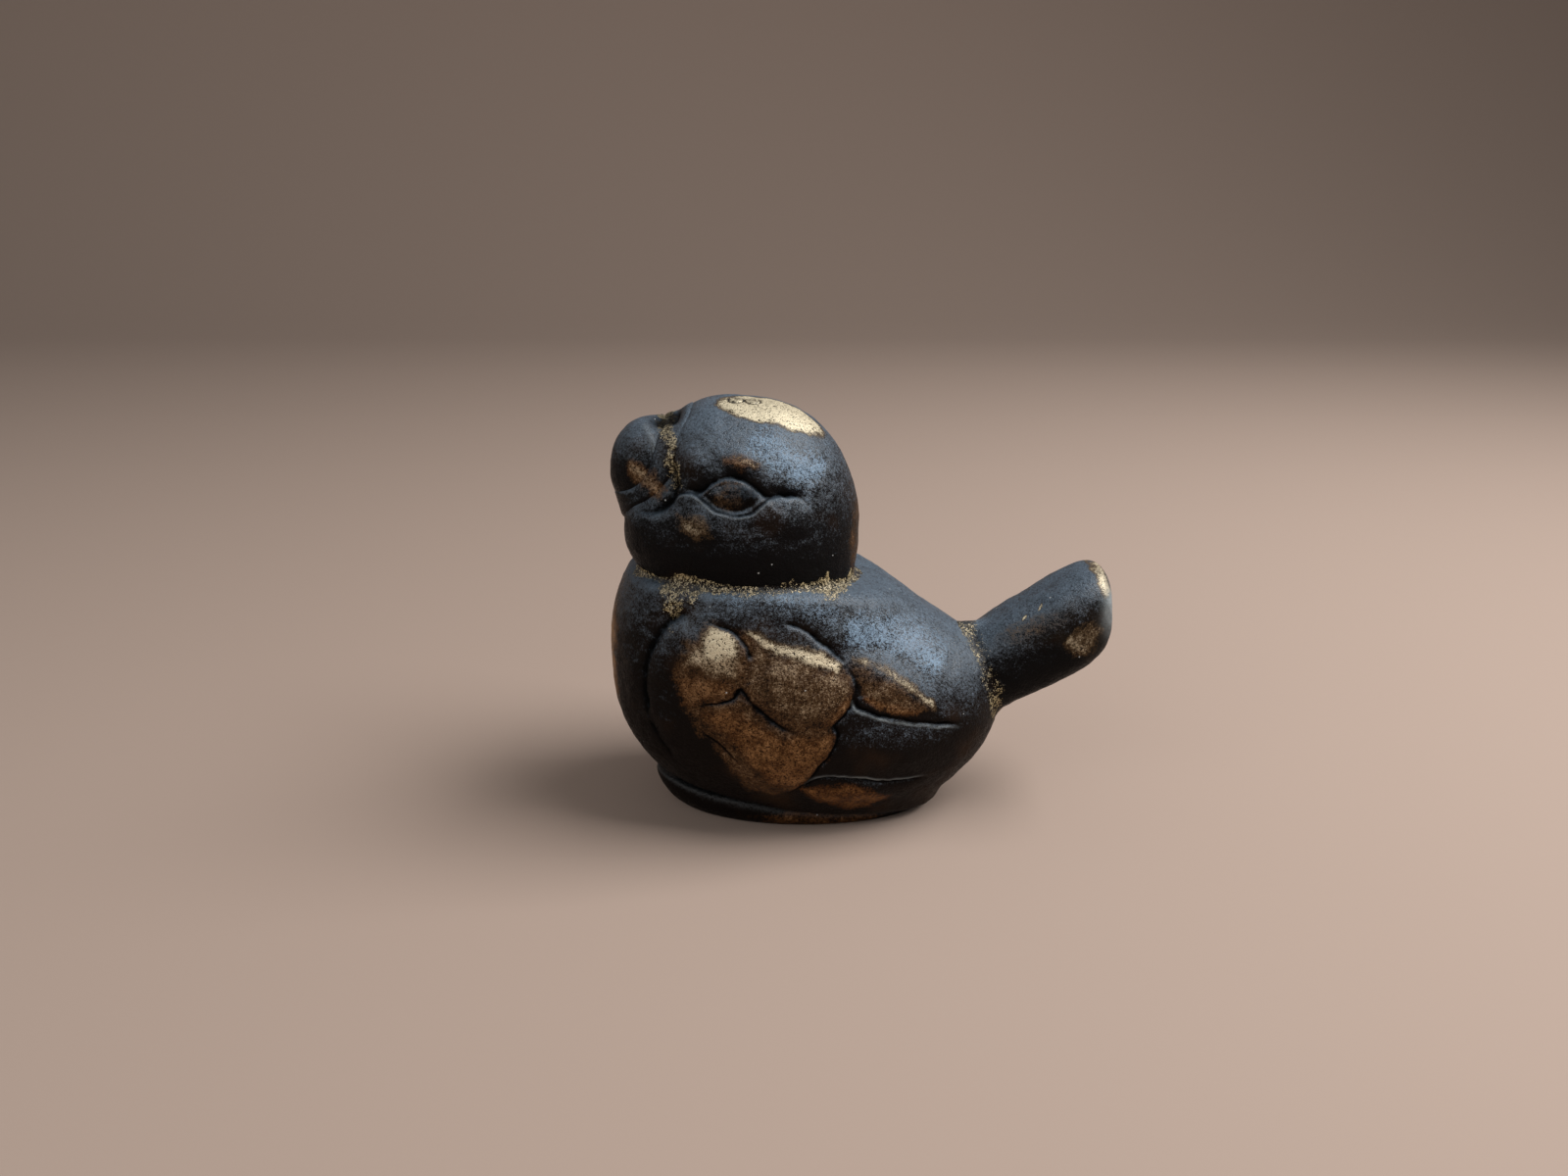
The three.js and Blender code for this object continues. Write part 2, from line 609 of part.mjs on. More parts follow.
function headCasting() {
  const core = (p) => softMax(cranium(p), NECK.z - p.z, CORE_ROUNDING);
  const hollow = cast(core, SKULL, { ...INNER_CORE, grow: -CAST_WALL });
  const spigotFoot = along(NECK, upright, -NECK_SPIGOT_DEPTH);
  const spigot = bar(spigotFoot, along(NECK, upright, CAST_WALL), NECK_SPIGOT_RADIUS);
  const vent = bar(along(NECK, upright, -2 * NECK_SPIGOT_DEPTH), SKULL, NECK_VENT_RADIUS);
  const beakSocket = bar(
    along(beakSeat, forward, -BEAK_TENON_DEPTH - SEAT_GAP),
    along(beakSeat, forward, CAST_WALL),
    BEAK_TENON_RADIUS + SEAT_GAP,
    TENON_SIDES,
  );
  const shell = headSkin.add(spigot).subtract(hollow).subtract(vent).subtract(beakSocket);
  return PLUG_STATIONS.reduce((made, station) => made.subtract(plugBar(station, PLUG_GAP)), shell);
}

function beakCasting() {
  const bulb = largest(cast(beakForm, BEAK, BEAK_SKIN).subtract(clearOfHead));
  const inner = along(beakSeat, forward, -BEAK_TENON_DEPTH);
  const tenon = bar(inner, along(beakSeat, forward, CAST_WALL), BEAK_TENON_RADIUS, TENON_SIDES);
  return bulb.add(tenon);
}

function tailCasting() {
  const paddle = largest(cast(tailForm, TAIL, TAIL_SKIN).subtract(clearOfBody));
  const inner = along(tailSeat, tailAxis, -TAIL_TENON_DEPTH);
  const tenon = bar(inner, along(tailSeat, tailAxis, CAST_WALL), TAIL_TENON_RADIUS, TENON_SIDES);
  return paddle.add(tenon);
}

// A bead of filler laid round the line where one form enters another, kept clear of both castings.
// Round the axis, each station is found on the form's surface where the host's surface begins.
function beadRing(form, host, start, axis, length, radius) {
  const side = vector(0, 1, 0);
  const up = side.clone().cross(axis);
  const positions = [];
  const triangles = [];
  for (let i = 0; i < BEAD_STATIONS; i++) {
    const angle = (2 * Math.PI * i) / BEAD_STATIONS;
    const out = side.clone().multiplyScalar(Math.cos(angle)).addScaledVector(up, Math.sin(angle));
    let free = 0;
    let buried = length;
    while (buried - free > 1e-4) {
      const middle = (free + buried) / 2;
      if (host(exit(form, along(start, axis, middle), out)) > 0) free = middle;
      else buried = middle;
    }
    const seam = exit(form, along(start, axis, free), out);
    for (let k = 0; k < BEAD_SIDES; k++) {
      const turn = (2 * Math.PI * k) / BEAD_SIDES;
      const p = along(along(seam, out, radius * Math.cos(turn)), axis, radius * Math.sin(turn));
      positions.push(...p.toArray());
      const here = i * BEAD_SIDES;
      const next = ((i + 1) % BEAD_STATIONS) * BEAD_SIDES;
      const turned = (k + 1) % BEAD_SIDES;
      triangles.push(here + k, here + turned, next + k, here + turned, next + turned, next + k);
    }
  }
  const ring = solidFrom(positions, triangles);
  return ring.volume() > 0 ? ring : solidFrom(positions, triangles.reverse());
}

const slab = (from, to) => {
  const size = to.clone().sub(from);
  const middle = from.clone().lerp(to, 0.5);
  return solid(new THREE.BoxGeometry(size.x, size.y, size.z).translate(middle.x, middle.y, middle.z));
};

// The neck's bead lies on the narrower of the two castings that meet there.
function neckBraze() {
  const down = vector(0, 0, -1);
  const narrower = (p) => Math.max(cranium(p), torso(p));
  const aboveSeam = (p) => p.z - NECK.z;
  const reach = SKULL_RISE + NECK_SPIGOT_DEPTH;
  const ring = beadRing(narrower, aboveSeam, SKULL, down, reach, NECK_BEAD);
  return largest(ring.subtract(clearOfBody).subtract(clearOfHead));
}

function tailBraze() {
  const inward = tailAxis.clone().negate();
  const ring = beadRing(tailForm, torso, TAIL, inward, TAIL_LENGTH / 2 - TAIL_BEAD, TAIL_BEAD);
  const top = exit(tailForm, tailSeat, upright);
  const ball = new THREE.SphereGeometry(TAIL_LUMP_RADIUS, TAIL_LUMP_SIDES, TAIL_LUMP_SIDES / 2);
  const lump = solid(ball.translate(top.x, top.y, top.z));
  return largest(ring.add(lump).subtract(clearOfBody).subtract(clearOfTail));
}

// The filler round the beak was never closed on top, where a pit is left.
function beakBraze() {
  const backward = vector(1, 0, 0);
  const tip = along(BEAK, forward, BEAK_LENGTH / 2 - BEAK_BEAD);
  const ring = beadRing(beakForm, cranium, tip, backward, BEAK_LENGTH / 2, BEAK_BEAD);
  const pit = slab(
    vector(BEAK.x - BEAK_LENGTH, -BEAK_PIT_WIDTH / 2, BEAK.z),
    vector(BEAK.x + BEAK_LENGTH, BEAK_PIT_WIDTH / 2, BEAK.z + BEAK_HEIGHT),
  );
  return largest(ring.subtract(pit).subtract(clearOfHead).subtract(clearOfBeak));
}

// Core pins stand in a row on the left of the crown.
const PLUG_STATIONS = [-1, 1].map((end) => SKULL.x - PLUG_SETFORWARD + (end * PLUG_SPACING) / 2);

function plugBar(x, gap) {
  const top = exit(headForm, vector(x, -PLUG_SIDE, SKULL.z), upright);
  const foot = along(top, upright, -PLUG_LENGTH - gap);
  return bar(foot, along(top, upright, CAST_WALL), PLUG_RADIUS + gap, PLUG_SIDES);
}

const PLUG_NAMES = ["crown_plug_front", "crown_plug_rear"];
const crownPlug = (x, i) => piece(PLUG_NAMES[i], plugBar(x, 0).intersect(headSkin), RUBBED_BRASS);

const bird = new THREE.Group();
bird.add(
  piece("body_casting", bodyCasting(), PATINA),
  piece("head_casting", headCasting(), PATINA),
  piece("beak", beakCasting(), PATINA),
  piece("tail", tailCasting(), PATINA),
  piece("base_plate", basePlate(), DULL_PATINA),
  piece("neck_braze", neckBraze(), BRAZE),
  piece("beak_braze", beakBraze(), BRAZE),
  piece("tail_braze", tailBraze(), BRAZE),
  ...PLUG_STATIONS.map(crownPlug),
);

export default bird;
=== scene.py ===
"""Looks of the metal bird figurine: carved castings, granular brazed seams and worn patina.

Sizes below are millimetres in the model's frame: the bird faces -X, its left side is -Y, +Z is up.
"""

import math
from itertools import product

import bpy
import numpy as np
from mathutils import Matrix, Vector


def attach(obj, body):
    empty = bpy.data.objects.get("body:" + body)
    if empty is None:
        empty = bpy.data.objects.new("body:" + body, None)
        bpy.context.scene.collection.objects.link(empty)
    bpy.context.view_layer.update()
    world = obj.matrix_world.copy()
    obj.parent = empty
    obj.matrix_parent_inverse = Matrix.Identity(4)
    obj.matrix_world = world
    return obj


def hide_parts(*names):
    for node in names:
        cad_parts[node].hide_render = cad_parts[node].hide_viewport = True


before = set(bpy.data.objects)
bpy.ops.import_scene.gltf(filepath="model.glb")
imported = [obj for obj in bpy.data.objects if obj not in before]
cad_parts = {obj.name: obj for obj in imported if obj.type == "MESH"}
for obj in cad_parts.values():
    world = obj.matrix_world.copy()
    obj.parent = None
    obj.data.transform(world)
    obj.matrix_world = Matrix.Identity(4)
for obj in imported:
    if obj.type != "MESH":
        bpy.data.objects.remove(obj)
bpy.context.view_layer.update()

MM = 0.001

# Forms of the castings: centre, full size and squareness
CHEST = np.array([-12.9, 0.0, 19.9])
CHEST_SIZE = (34.0, 30.0, 35.8)
RUMP = CHEST + (14.0, 0.0, -7.2)
RUMP_SIZE = (31.6, 25.0, 22.7)
RUMP_TILT = 8.5
BODY_BLEND = 9.8
FOOT = np.array([-2.3, 0.0, 2.0])
FOOT_SIZE = (23.0, 16.0, 6.4)
FOOT_BLEND = 6.0
FOOT_ROUNDING = 1.0
NECK_Z = 30.7
NECK_DIP = 0.010
SEAT_ROUNDING = 1.0
SKULL = np.array([-12.9, 0.0, 34.5])
SKULL_SIZE = (25.1, 24.4, 31.0)
FOREHEAD = SKULL + (-4.5, 0.0, 8.4)
FOREHEAD_SIZE = (11.2, 17.2, 12.9)
JAW = SKULL + (-5.7, 0.0, 1.1)
JAW_SIZE = (18.0, 18.4, 11.3)
HEAD_BLEND = 3.0
BEAK = SKULL + (-9.9, 0.0, 7.5)
BEAK_SIZE = (12.8, 11.6, 12.6)
TAIL = RUMP + (19.1, 0.0, 7.4)
TAIL_SIZE = (22.0, 11.6, 10.6)
TAIL_TILT = 30.7
TAIL_FLARE = 0.1
TAIL_LEAN = 0.47

# Base plate: its lip leans forward over the rest face
BASE_X = -6.9
BASE_LENGTH = 32.8
BASE_WIDTH = 18.6
BASE_HEIGHT = 2.3
BASE_SLOPE = 0.1
BASE_LEAN = 0.6
BASE_ROUNDING = 1.0

# Points that the carving and the wear are drawn from, and the small features
WING = CHEST + (0.9, 0.0, -1.3)
EYE = SKULL + (-1.7, 0.0, 6.5)
EYE_LENGTH = 7.0
EYE_HEIGHT = 3.8
IRIS_RADIUS = 1.7
BEAK_CREASE = [(-8.4, 7.2), (-7.6, 5.8), (-7.1, 4.7), (-6.9, 3.4), (-6.5, 1.8), (-6.5, 0.2), (-7.2, -1.2),
               (-8.6, -2.1), (-10.4, -2.6), (-11.9, -2.8)]
PIT = EYE + (-7.9, -1.0, 7.3)
PIT_RADII = (1.9, 3.0, 1.4)
PIT_DEPTH = 1.2
LUMP = TAIL + (-6.9, 0.0, 2.1)
LUMP_RADIUS = 1.5
LUMP_HEIGHT = 1.3
CROWN_PINS = ((-14.55, -1.8), (-12.65, -1.8))
CROWN_PIN_RADIUS = 0.85
CROWN_PIN_LENGTH = 1.5
CROWN_PIN_GAP = 0.05

# The neck's crumbs lie above this height. They reach down by the band, and farther at three places:
# place and spread in degrees round the neck, and depth
SHOULDER_Z = 24.0
NECK_BAND = 0.45
NECK_BANDS = ((90, 30, 0.5), (125, 11, 2.8), (45, 14, 2.0))

# Two sizes of crumb in the filler
CRUMB_SIZE = 0.62
SMALL_CRUMB_SIZE = 0.33

# The photograph's view: the camera's place, how far down it looks (degrees) and its lens
CAMERA_PLACE = (-9.15, -133.7, 71.7)
CAMERA_TILT = 18.435
FOCAL_LENGTH = 27.0
SENSOR_WIDTH = 36.0

# Mesh density: quads along each edge of the cube that a surface starts from, and points round the rest
BODY_CELLS = 190
HEAD_CELLS = 150
BEAK_CELLS = 60
TAIL_CELLS = 70
BASE_STATIONS = 280
BASE_ARC_STEPS = 15
BASE_RINGS = 12
NECK_STATIONS = 420
ROOT_STATIONS = 300
SEAM_SIDES = 40
PIN_SIDES = 40
PIN_RINGS = (0.35, 0.7, 0.92, 1.0)

# Marks that every surface carries for its material
MARKS = ("wear", "tone", "painted_highlight", "grit", "groove", "painted_reflection")


def full_turn(count):
    return np.linspace(0, 2 * math.pi, count, endpoint=False)


def cos_sin(degrees):
    return math.cos(math.radians(degrees)), math.sin(math.radians(degrees))


def smoothstep(value, start, end):
    share = np.clip((value - start) / (end - start), 0, 1)
    return share * share * (3 - 2 * share)


def hashed(cells, seed):
    """A repeatable number from 0 to 1 for each whole-numbered cell."""
    x, y, z = (cells[..., k].astype(np.int64).astype(np.uint64) for k in range(3))
    n = x * np.uint64(0x9E3779B185EBCA87) ^ y * np.uint64(0xC2B2AE3D27D4EB4F)
    n ^= z * np.uint64(0x165667B19E3779F9) ^ np.uint64(seed * 0x27D4EB2F)
    n = (n ^ (n >> np.uint64(31))) * np.uint64(0x94D049BB133111EB)
    n = n ^ (n >> np.uint64(29))
    return (n >> np.uint64(40)).astype(float) / 2**24


def noise(points, size, seed, octaves=3):
    """Smooth noise from about -1 to 1, with features of the given size."""
    total = np.zeros(len(points))
    for octave in range(octaves):
        at = points / size * 2**octave + 31.7 * (seed + octave)
        cell = np.floor(at)
        t = at - cell
        t = t * t * (3 - 2 * t)
        for corner in product((0, 1), repeat=3):
            weight = np.prod(np.where(corner, t, 1 - t), axis=1)
            total += 0.5**octave * weight * (2 * hashed(cell + corner, seed) - 1)
    return total


def grains(points, size, seed):
    """Rounded grains: 1 at the middle of each and near 0 between them."""
    at = points / size
    cell = np.floor(at)
    nearest = np.full(len(points), 9.0)
    for corner in product((-1, 0, 1), repeat=3):
        near = cell + corner
        centre = near + np.stack([hashed(near, seed + k) for k in range(3)], axis=1)
        nearest = np.minimum(nearest, ((at - centre) ** 2).sum(axis=1))
    return np.clip(1 - np.sqrt(nearest), 0, 1)


def egg(centre, size, tilt=0.0, section=2.0, ends=None, flare=0.0, lean=0.0):
    """A tilted superellipsoid as a field that is negative inside and grows like a distance."""
    rx, ry, rz = np.array(size) / 2
    ends = ends or section
    cos, sin = cos_sin(tilt)

    def field(p):
        dx, dy, dz = (p - centre).T
        rise = dz * cos - dx * sin
        along = (dx * cos + dz * sin - lean * rise) / rx
        swell = 1 + flare * np.clip(along, -1.5, 1.5)
        across = np.abs(dy) / (ry * swell)
        up = np.abs(rise) / (rz * swell)
        ring = (across**section + up**section) ** (1 / section) + 1e-9
        size_here = (np.abs(along) ** ends + ring**ends) ** (1 / ends)
        share = (ring / size_here) ** (ends - 1)
        slope = np.sqrt(
            ((np.abs(along) / size_here) ** (ends - 1) / rx) ** 2
            + (share * (across / ring) ** (section - 1) / ry) ** 2
            + (share * (up / ring) ** (section - 1) / rz) ** 2
        )
        return (size_here - 1) / slope

    return field


def soft_min(a, b, blend):
    near = np.maximum(blend - np.abs(a - b), 0)
    return np.minimum(a, b) - near * near / (4 * blend)


def soft_max(a, b, blend):
    return -soft_min(-a, -b, blend)


def base_top(x):
    return BASE_HEIGHT - BASE_SLOPE * (x - BASE_X)


chest = egg(CHEST, CHEST_SIZE, section=2.3)
rump = egg(RUMP, RUMP_SIZE, tilt=RUMP_TILT, section=2.2)
foot = egg(FOOT, FOOT_SIZE, section=2.5)
skull = egg(SKULL, SKULL_SIZE, section=2.1)
forehead = egg(FOREHEAD, FOREHEAD_SIZE)
jaw = egg(JAW, JAW_SIZE, section=2.8)
beak_form = egg(BEAK, BEAK_SIZE, section=2.2)
tail_form = egg(TAIL, TAIL_SIZE, tilt=TAIL_TILT, section=2.6, ends=4.0, flare=TAIL_FLARE,
                lean=TAIL_LEAN)


def torso(p):
    return soft_min(chest(p), rump(p), BODY_BLEND)


def cranium(p):
    return soft_min(soft_min(skull(p), forehead(p), HEAD_BLEND), jaw(p), HEAD_BLEND)


def above_neck(p):
    """Height over the seam of the neck, which dips towards the back."""
    return p[:, 2] - NECK_Z + NECK_DIP * np.maximum(p[:, 0] - SKULL[0], 0) ** 2


def body_form(p):
    standing = soft_min(torso(p), foot(p), FOOT_BLEND)
    under_head = soft_max(standing, above_neck(p), SEAT_ROUNDING)
    return soft_max(under_head, base_top(p[:, 0]) - p[:, 2], FOOT_ROUNDING)


def head_form(p):
    return soft_max(cranium(p), -above_neck(p), SEAT_ROUNDING)


def spline(path, steps=10):
    """A smooth line through the points of a path, as a fine polyline."""
    path = np.array(path, float)
    padded = np.vstack([2 * path[0] - path[1], path, 2 * path[-1] - path[-2]])
    t = np.arange(steps)[:, None] / steps
    runs = []
    for a, b, c, d in zip(padded, padded[1:], padded[2:], padded[3:]):
        runs.append(0.5 * (2 * b + (c - a) * t + (2 * a - 5 * b + 4 * c - d) * t**2
                           + (3 * b - a - 3 * c + d) * t**3))
    return np.vstack(runs + [path[-1:]])


def nearest_on(line, at):
    """Distance to a polyline, the side of it (+1 on its left) and how far along it, 0 to 1."""
    best = np.full(len(at), np.inf)
    side = np.ones(len(at))
    share = np.zeros(len(at))
    for i, (start, end) in enumerate(zip(line, line[1:])):
        run = end - start
        offset = at - start
        t = np.clip(offset @ run / (run @ run), 0, 1)
        gap = np.linalg.norm(offset - t[:, None] * run, axis=1)
        closer = gap < best
        turn = run[0] * offset[:, 1] - run[1] * offset[:, 0]
        best = np.where(closer, gap, best)
        side = np.where(closer, np.where(turn < 0, -1, 1), side)
        share = np.where(closer, (i + t) / (len(line) - 1), share)
    return best, side, share


class Relief:
    """Height of the carving over the side of a form, its grooves darkened with painted shade and dirt, and
    its lips lit with a painted highlight.
    """

    def __init__(self, origin, points):
        self.origin = origin[[0, 2]]
        # The hand that cut the lines wandered a little and pressed unevenly
        wander = np.stack([noise(points, 1.3, 51), noise(points, 1.3, 57)], axis=1)
        self.at = points[:, [0, 2]] - self.origin + 0.1 * wander
        self.firm = np.clip(0.85 + 0.5 * noise(points, 2.0, 59), 0.3, 1.1)
        self.height = np.zeros(len(points))
        self.groove = np.zeros(len(points))
        self.lip = np.zeros(len(points))

    def crease(self, path, lift, spread, drop, sink, bite, dark, lit=0, fade_in=0.2, fade_out=0.2):
        """Left of the path the metal stands up to a lip. Right of it the metal sinks and recovers.

        lit marks a thin line painted as a highlight: 1 on the lip, -1 on the far edge."""
        line = spline(path)
        margin = 5 * max(spread, sink)
        near = np.all((self.at > line.min(0) - margin) & (self.at < line.max(0) + margin), axis=1)
        gap, side, share = nearest_on(line, self.at[near])
        strength = self.firm[near] * smoothstep(share, 0, fade_in) * smoothstep(1 - share, 0, fade_out)
        raised = lift * np.exp(-gap / spread) - (lift + drop) * np.exp(-gap / bite)
        sunk = -drop * np.exp(-gap / sink)
        self.height[near] += strength * np.where(side > 0, raised, sunk)
        # The groove mark is painted shade, with dirt, along the crease.
        self.groove[near] = np.maximum(self.groove[near], strength * np.exp(-(gap / dark) ** 2))
        # The lip mark is a painted highlight along one side of the crease.
        if lit:
            edge = np.exp(-(((gap - 2.0 * dark) / (0.55 * dark)) ** 2)) * (side == lit)
            self.height[near] += 0.05 * strength * edge
            self.lip[near] = np.maximum(self.lip[near], strength * edge)

    def swell(self, place, size, turn, height):
        """A soft oval swelling."""
        cos, sin = cos_sin(turn)
        dx, dz = (self.at - place).T
        along = 2 * (dx * cos + dz * sin) / size[0]
        across = 2 * (dz * cos - dx * sin) / size[1]
        self.height += height * np.maximum(1 - along**2 - across**2, 0) ** 2


FRONT_EDGE = dict(lift=0.6, spread=5.0, drop=0.65, sink=1.6, bite=0.9, dark=0.5, fade_in=0.1, fade_out=0.3)
FEATHER_EDGE = dict(lift=0.18, spread=2.4, drop=0.5, sink=0.4, bite=0.2, dark=0.2)
FLIGHT_EDGE = dict(lift=0.4, spread=1.5, drop=0.5, sink=0.4, bite=0.22, dark=0.24, fade_in=0.06,
                   fade_out=0.1)
SOFT_FOLD = dict(lift=0.2, spread=1.8, drop=0.4, sink=1.2, bite=0.8, dark=0.1, fade_in=0.4, fade_out=0.4)
BROW_EDGE = dict(lift=0.5, spread=2.6, drop=0.7, sink=0.7, bite=0.3, dark=0.26, fade_in=0.12, fade_out=0.1)
LEDGE_EDGE = dict(lift=0.12, spread=1.6, drop=0.2, sink=0.5, bite=0.2, dark=0.15, lit=1, fade_out=0.15)
BEAK_EDGE = dict(lift=0.25, spread=1.5, drop=0.6, sink=0.9, bite=0.45, dark=0.45, fade_in=0.15,
                 fade_out=0.25)


def carve_wing(points):
    """Folded wing: a raised front edge, three scale-like coverts and three long flight feathers."""
    front = [(-7.4, 10.2), (-9.4, 9.1), (-10.8, 7.6), (-12.1, 5.4), (-12.9, 2.4), (-12.9, -1.4),
             (-12.0, -4.8), (-10.0, -8.2), (-6.4, -12.0)]
    shoulder_rear = [(-0.8, 4.9), (-1.1, 6.1), (-1.9, 7.5), (-3.4, 8.5), (-6.0, 9.2)]
    shoulder_foot = [(-6.8, -0.4), (-4.3, 0.1), (-2.8, 0.6), (-2.0, 1.9)]
    middle_top = [(9.6, 4.1), (8.5, 5.5), (6.5, 7.1), (4.6, 8.5), (2.6, 9.2)]
    middle_foot = [(-2.1, 2.1), (-1.1, 0.7), (0.2, -0.7), (1.9, -2.1), (3.4, -2.9), (5.6, -3.4)]
    coverts_rear = [(1.7, -13.1), (4.7, -10.8), (6.8, -7.9), (8.3, -5.7), (8.9, -3.9), (8.4, -2.7),
                    (9.4, -1.6), (10.4, -0.2), (10.8, 1.4), (10.4, 2.8), (9.6, 4.1)]
    soft_fold = [(-1.7, -7.9), (-3.6, -6.3), (-5.3, -4.6), (-7.6, -3.0)]
    upper_flight = [(10.8, 0.4), (11.2, -0.7), (12.8, -1.6), (15.2, -2.5), (18.2, -3.3), (23.6, -4.6)]
    lower_flight = [(5.3, -10.7), (6.4, -9.8), (8.0, -9.5), (10.8, -9.9), (14.5, -10.8), (19.8, -11.3)]
    wing = Relief(WING, points)
    wing.crease(front, **FRONT_EDGE)
    wing.crease(shoulder_rear, **FEATHER_EDGE)
    wing.crease(shoulder_foot, **{**FEATHER_EDGE, "fade_out": 0.05})
    wing.crease(middle_top, **{**FEATHER_EDGE, "fade_in": 0.1})
    wing.crease(middle_foot, **{**FEATHER_EDGE, "dark": 0.28, "fade_in": 0.05, "fade_out": 0.5})
    wing.crease(coverts_rear, **FEATHER_EDGE)
    wing.crease(soft_fold, **SOFT_FOLD)
    wing.crease(upper_flight, lit=-1, **FLIGHT_EDGE)
    wing.crease(lower_flight, lit=1, **FLIGHT_EDGE)
    wing.swell((-5.6, 4.4), (12, 13), 0, 0.5)
    wing.swell((4.4, 2.0), (17, 12), -28, 0.7)
    wing.swell((2.0, -7.2), (15, 12), 30, 0.6)
    wing.swell((14.6, 1.4), (15, 6), -32, 0.7)
    wing.swell((14.6, -6.4), (19, 7), -9, 0.5)
    wing.swell((12.0, -12.2), (15, 4.4), -3, 0.5)
    return wing


def carve_eyeball(face):
    """A domed ball in an almond between two lids, with a faint iris and a dark pupil."""
    bow = (EYE_LENGTH**2 + EYE_HEIGHT**2) / (4 * EYE_HEIGHT)
    rise = bow - EYE_HEIGHT / 2
    x, z = face.at.T
    edge = bow - np.maximum(np.hypot(x, z - rise), np.hypot(x, z + rise))
    depth = np.clip(2 * edge / EYE_HEIGHT, 0, 1)
    iris = (np.hypot(x - 0.3, z - 0.3) - IRIS_RADIUS) / 0.22
    face.height += 0.55 * np.sqrt(depth) - 0.5 * np.minimum(4 * depth, 1)
    face.height -= 0.12 * np.exp(-iris * iris) * (depth > 0)
    pupil = np.exp(-(((x - 1.7) / 1.3) ** 2) - ((z - 0.3) / 1.1) ** 2)
    face.groove = np.maximum(face.groove, (0.3 + 0.55 * pupil) * np.minimum(3 * depth, 1))


def carve_face(points):
    """Face: a brow over the eye, a cheek with a lit ledge under it, and the beak's rear crease."""
    brow = [(7.9, -0.9), (6.5, 0.0), (5.2, 0.2), (3.7, 0.1), (2.8, 0.7), (1.6, 1.6), (0.2, 2.1),
            (-1.2, 1.9), (-2.6, 1.2), (-3.9, 0.4), (-5.6, 0.6)]
    ledge = [(8.6, -2.0), (7.7, -0.7), (6.5, 0.0), (5.0, 0.2), (3.9, 0.0), (3.1, -0.7), (1.9, -1.5),
             (0.4, -1.9), (-1.2, -1.6), (-2.6, -0.9), (-3.7, -0.1), (-4.7, 0.2), (-6.1, -0.3),
             (-7.3, -1.3)]
    face = Relief(EYE, points)
    face.crease(brow, **BROW_EDGE)
    face.crease(ledge, **LEDGE_EDGE)
    face.crease(BEAK_CREASE, **BEAK_EDGE)
    face.swell((5.8, -2.6), (8, 4.4), -8, 0.4)
    face.swell((-3.8, -3.0), (7, 5), 0, 0.4)
    face.swell((0.0, -6.0), (22, 9), 0, 0.5)
    face.swell((0.8, 3.7), (7, 3.4), -14, 0.3)
    face.swell((-4.4, 3.6), (4, 4), 0, 0.3)
    carve_eyeball(face)
    return face


def quad_sphere(cells):
    """Directions over a sphere, and the quads between them, from a cube of evenly spread cells."""
    line = np.tan(np.linspace(-math.pi / 4, math.pi / 4, cells + 1))
    u, v = np.meshgrid(line, line, indexing="ij")
    one = np.ones_like(u)
    sides = ((one, u, v), (-one, v, u), (v, one, u), (u, -one, v), (u, v, one), (v, u, -one))
    points = np.concatenate([np.stack(side, axis=-1).reshape(-1, 3) for side in sides])
    corner = (np.arange(cells)[:, None] * (cells + 1) + np.arange(cells)).ravel()
    quad = np.stack([corner, corner + cells + 1, corner + cells + 2, corner + 1], axis=1)
    quads = np.concatenate([quad + k * (cells + 1) ** 2 for k in range(6)])
    points, index = np.unique(points.round(9), axis=0, return_inverse=True)
    return points / np.linalg.norm(points, axis=1)[:, None], index.ravel()[quads]


def reach_surface(field, starts, directions, farthest):
    """Where rays from inside a form come out of it."""
    inside = np.zeros(len(directions))
    outside = np.broadcast_to(np.asarray(farthest, float), inside.shape)
    for _ in range(26):
        middle = (inside + outside) / 2
        hit = field(starts + directions * middle[:, None]) < 0
        inside = np.where(hit, middle, inside)
        outside = np.where(hit, outside, middle)
    return starts + directions * inside[:, None]


def normals_of(field, points, step=0.03):
    shifts = np.eye(3) * step
    slope = np.stack([field(points + s) - field(points - s) for s in shifts], axis=1)
    return slope / np.linalg.norm(slope, axis=1)[:, None]


def make_piece(name, points, faces, marks, material, node):
    """A smooth-shaded mesh with its surface marks, standing in for a solid of the frame.

    A mark that isn't given is nought everywhere."""
    mesh = bpy.data.meshes.new(name)
    mesh.from_pydata((points * MM).tolist(), [], faces.tolist())
    mesh.shade_smooth()
    for mark_name in MARKS:
        layer = mesh.attributes.new(mark_name, "FLOAT", "POINT")
        values = np.broadcast_to(marks.get(mark_name, 0.0), len(points))
        layer.data.foreach_set("value", values.astype(np.float32))
    mesh.materials.append(material)
    piece = bpy.data.objects.new(name, mesh)
    bpy.context.scene.collection.objects.link(piece)
    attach(piece, "root")
    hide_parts(node)
    return piece


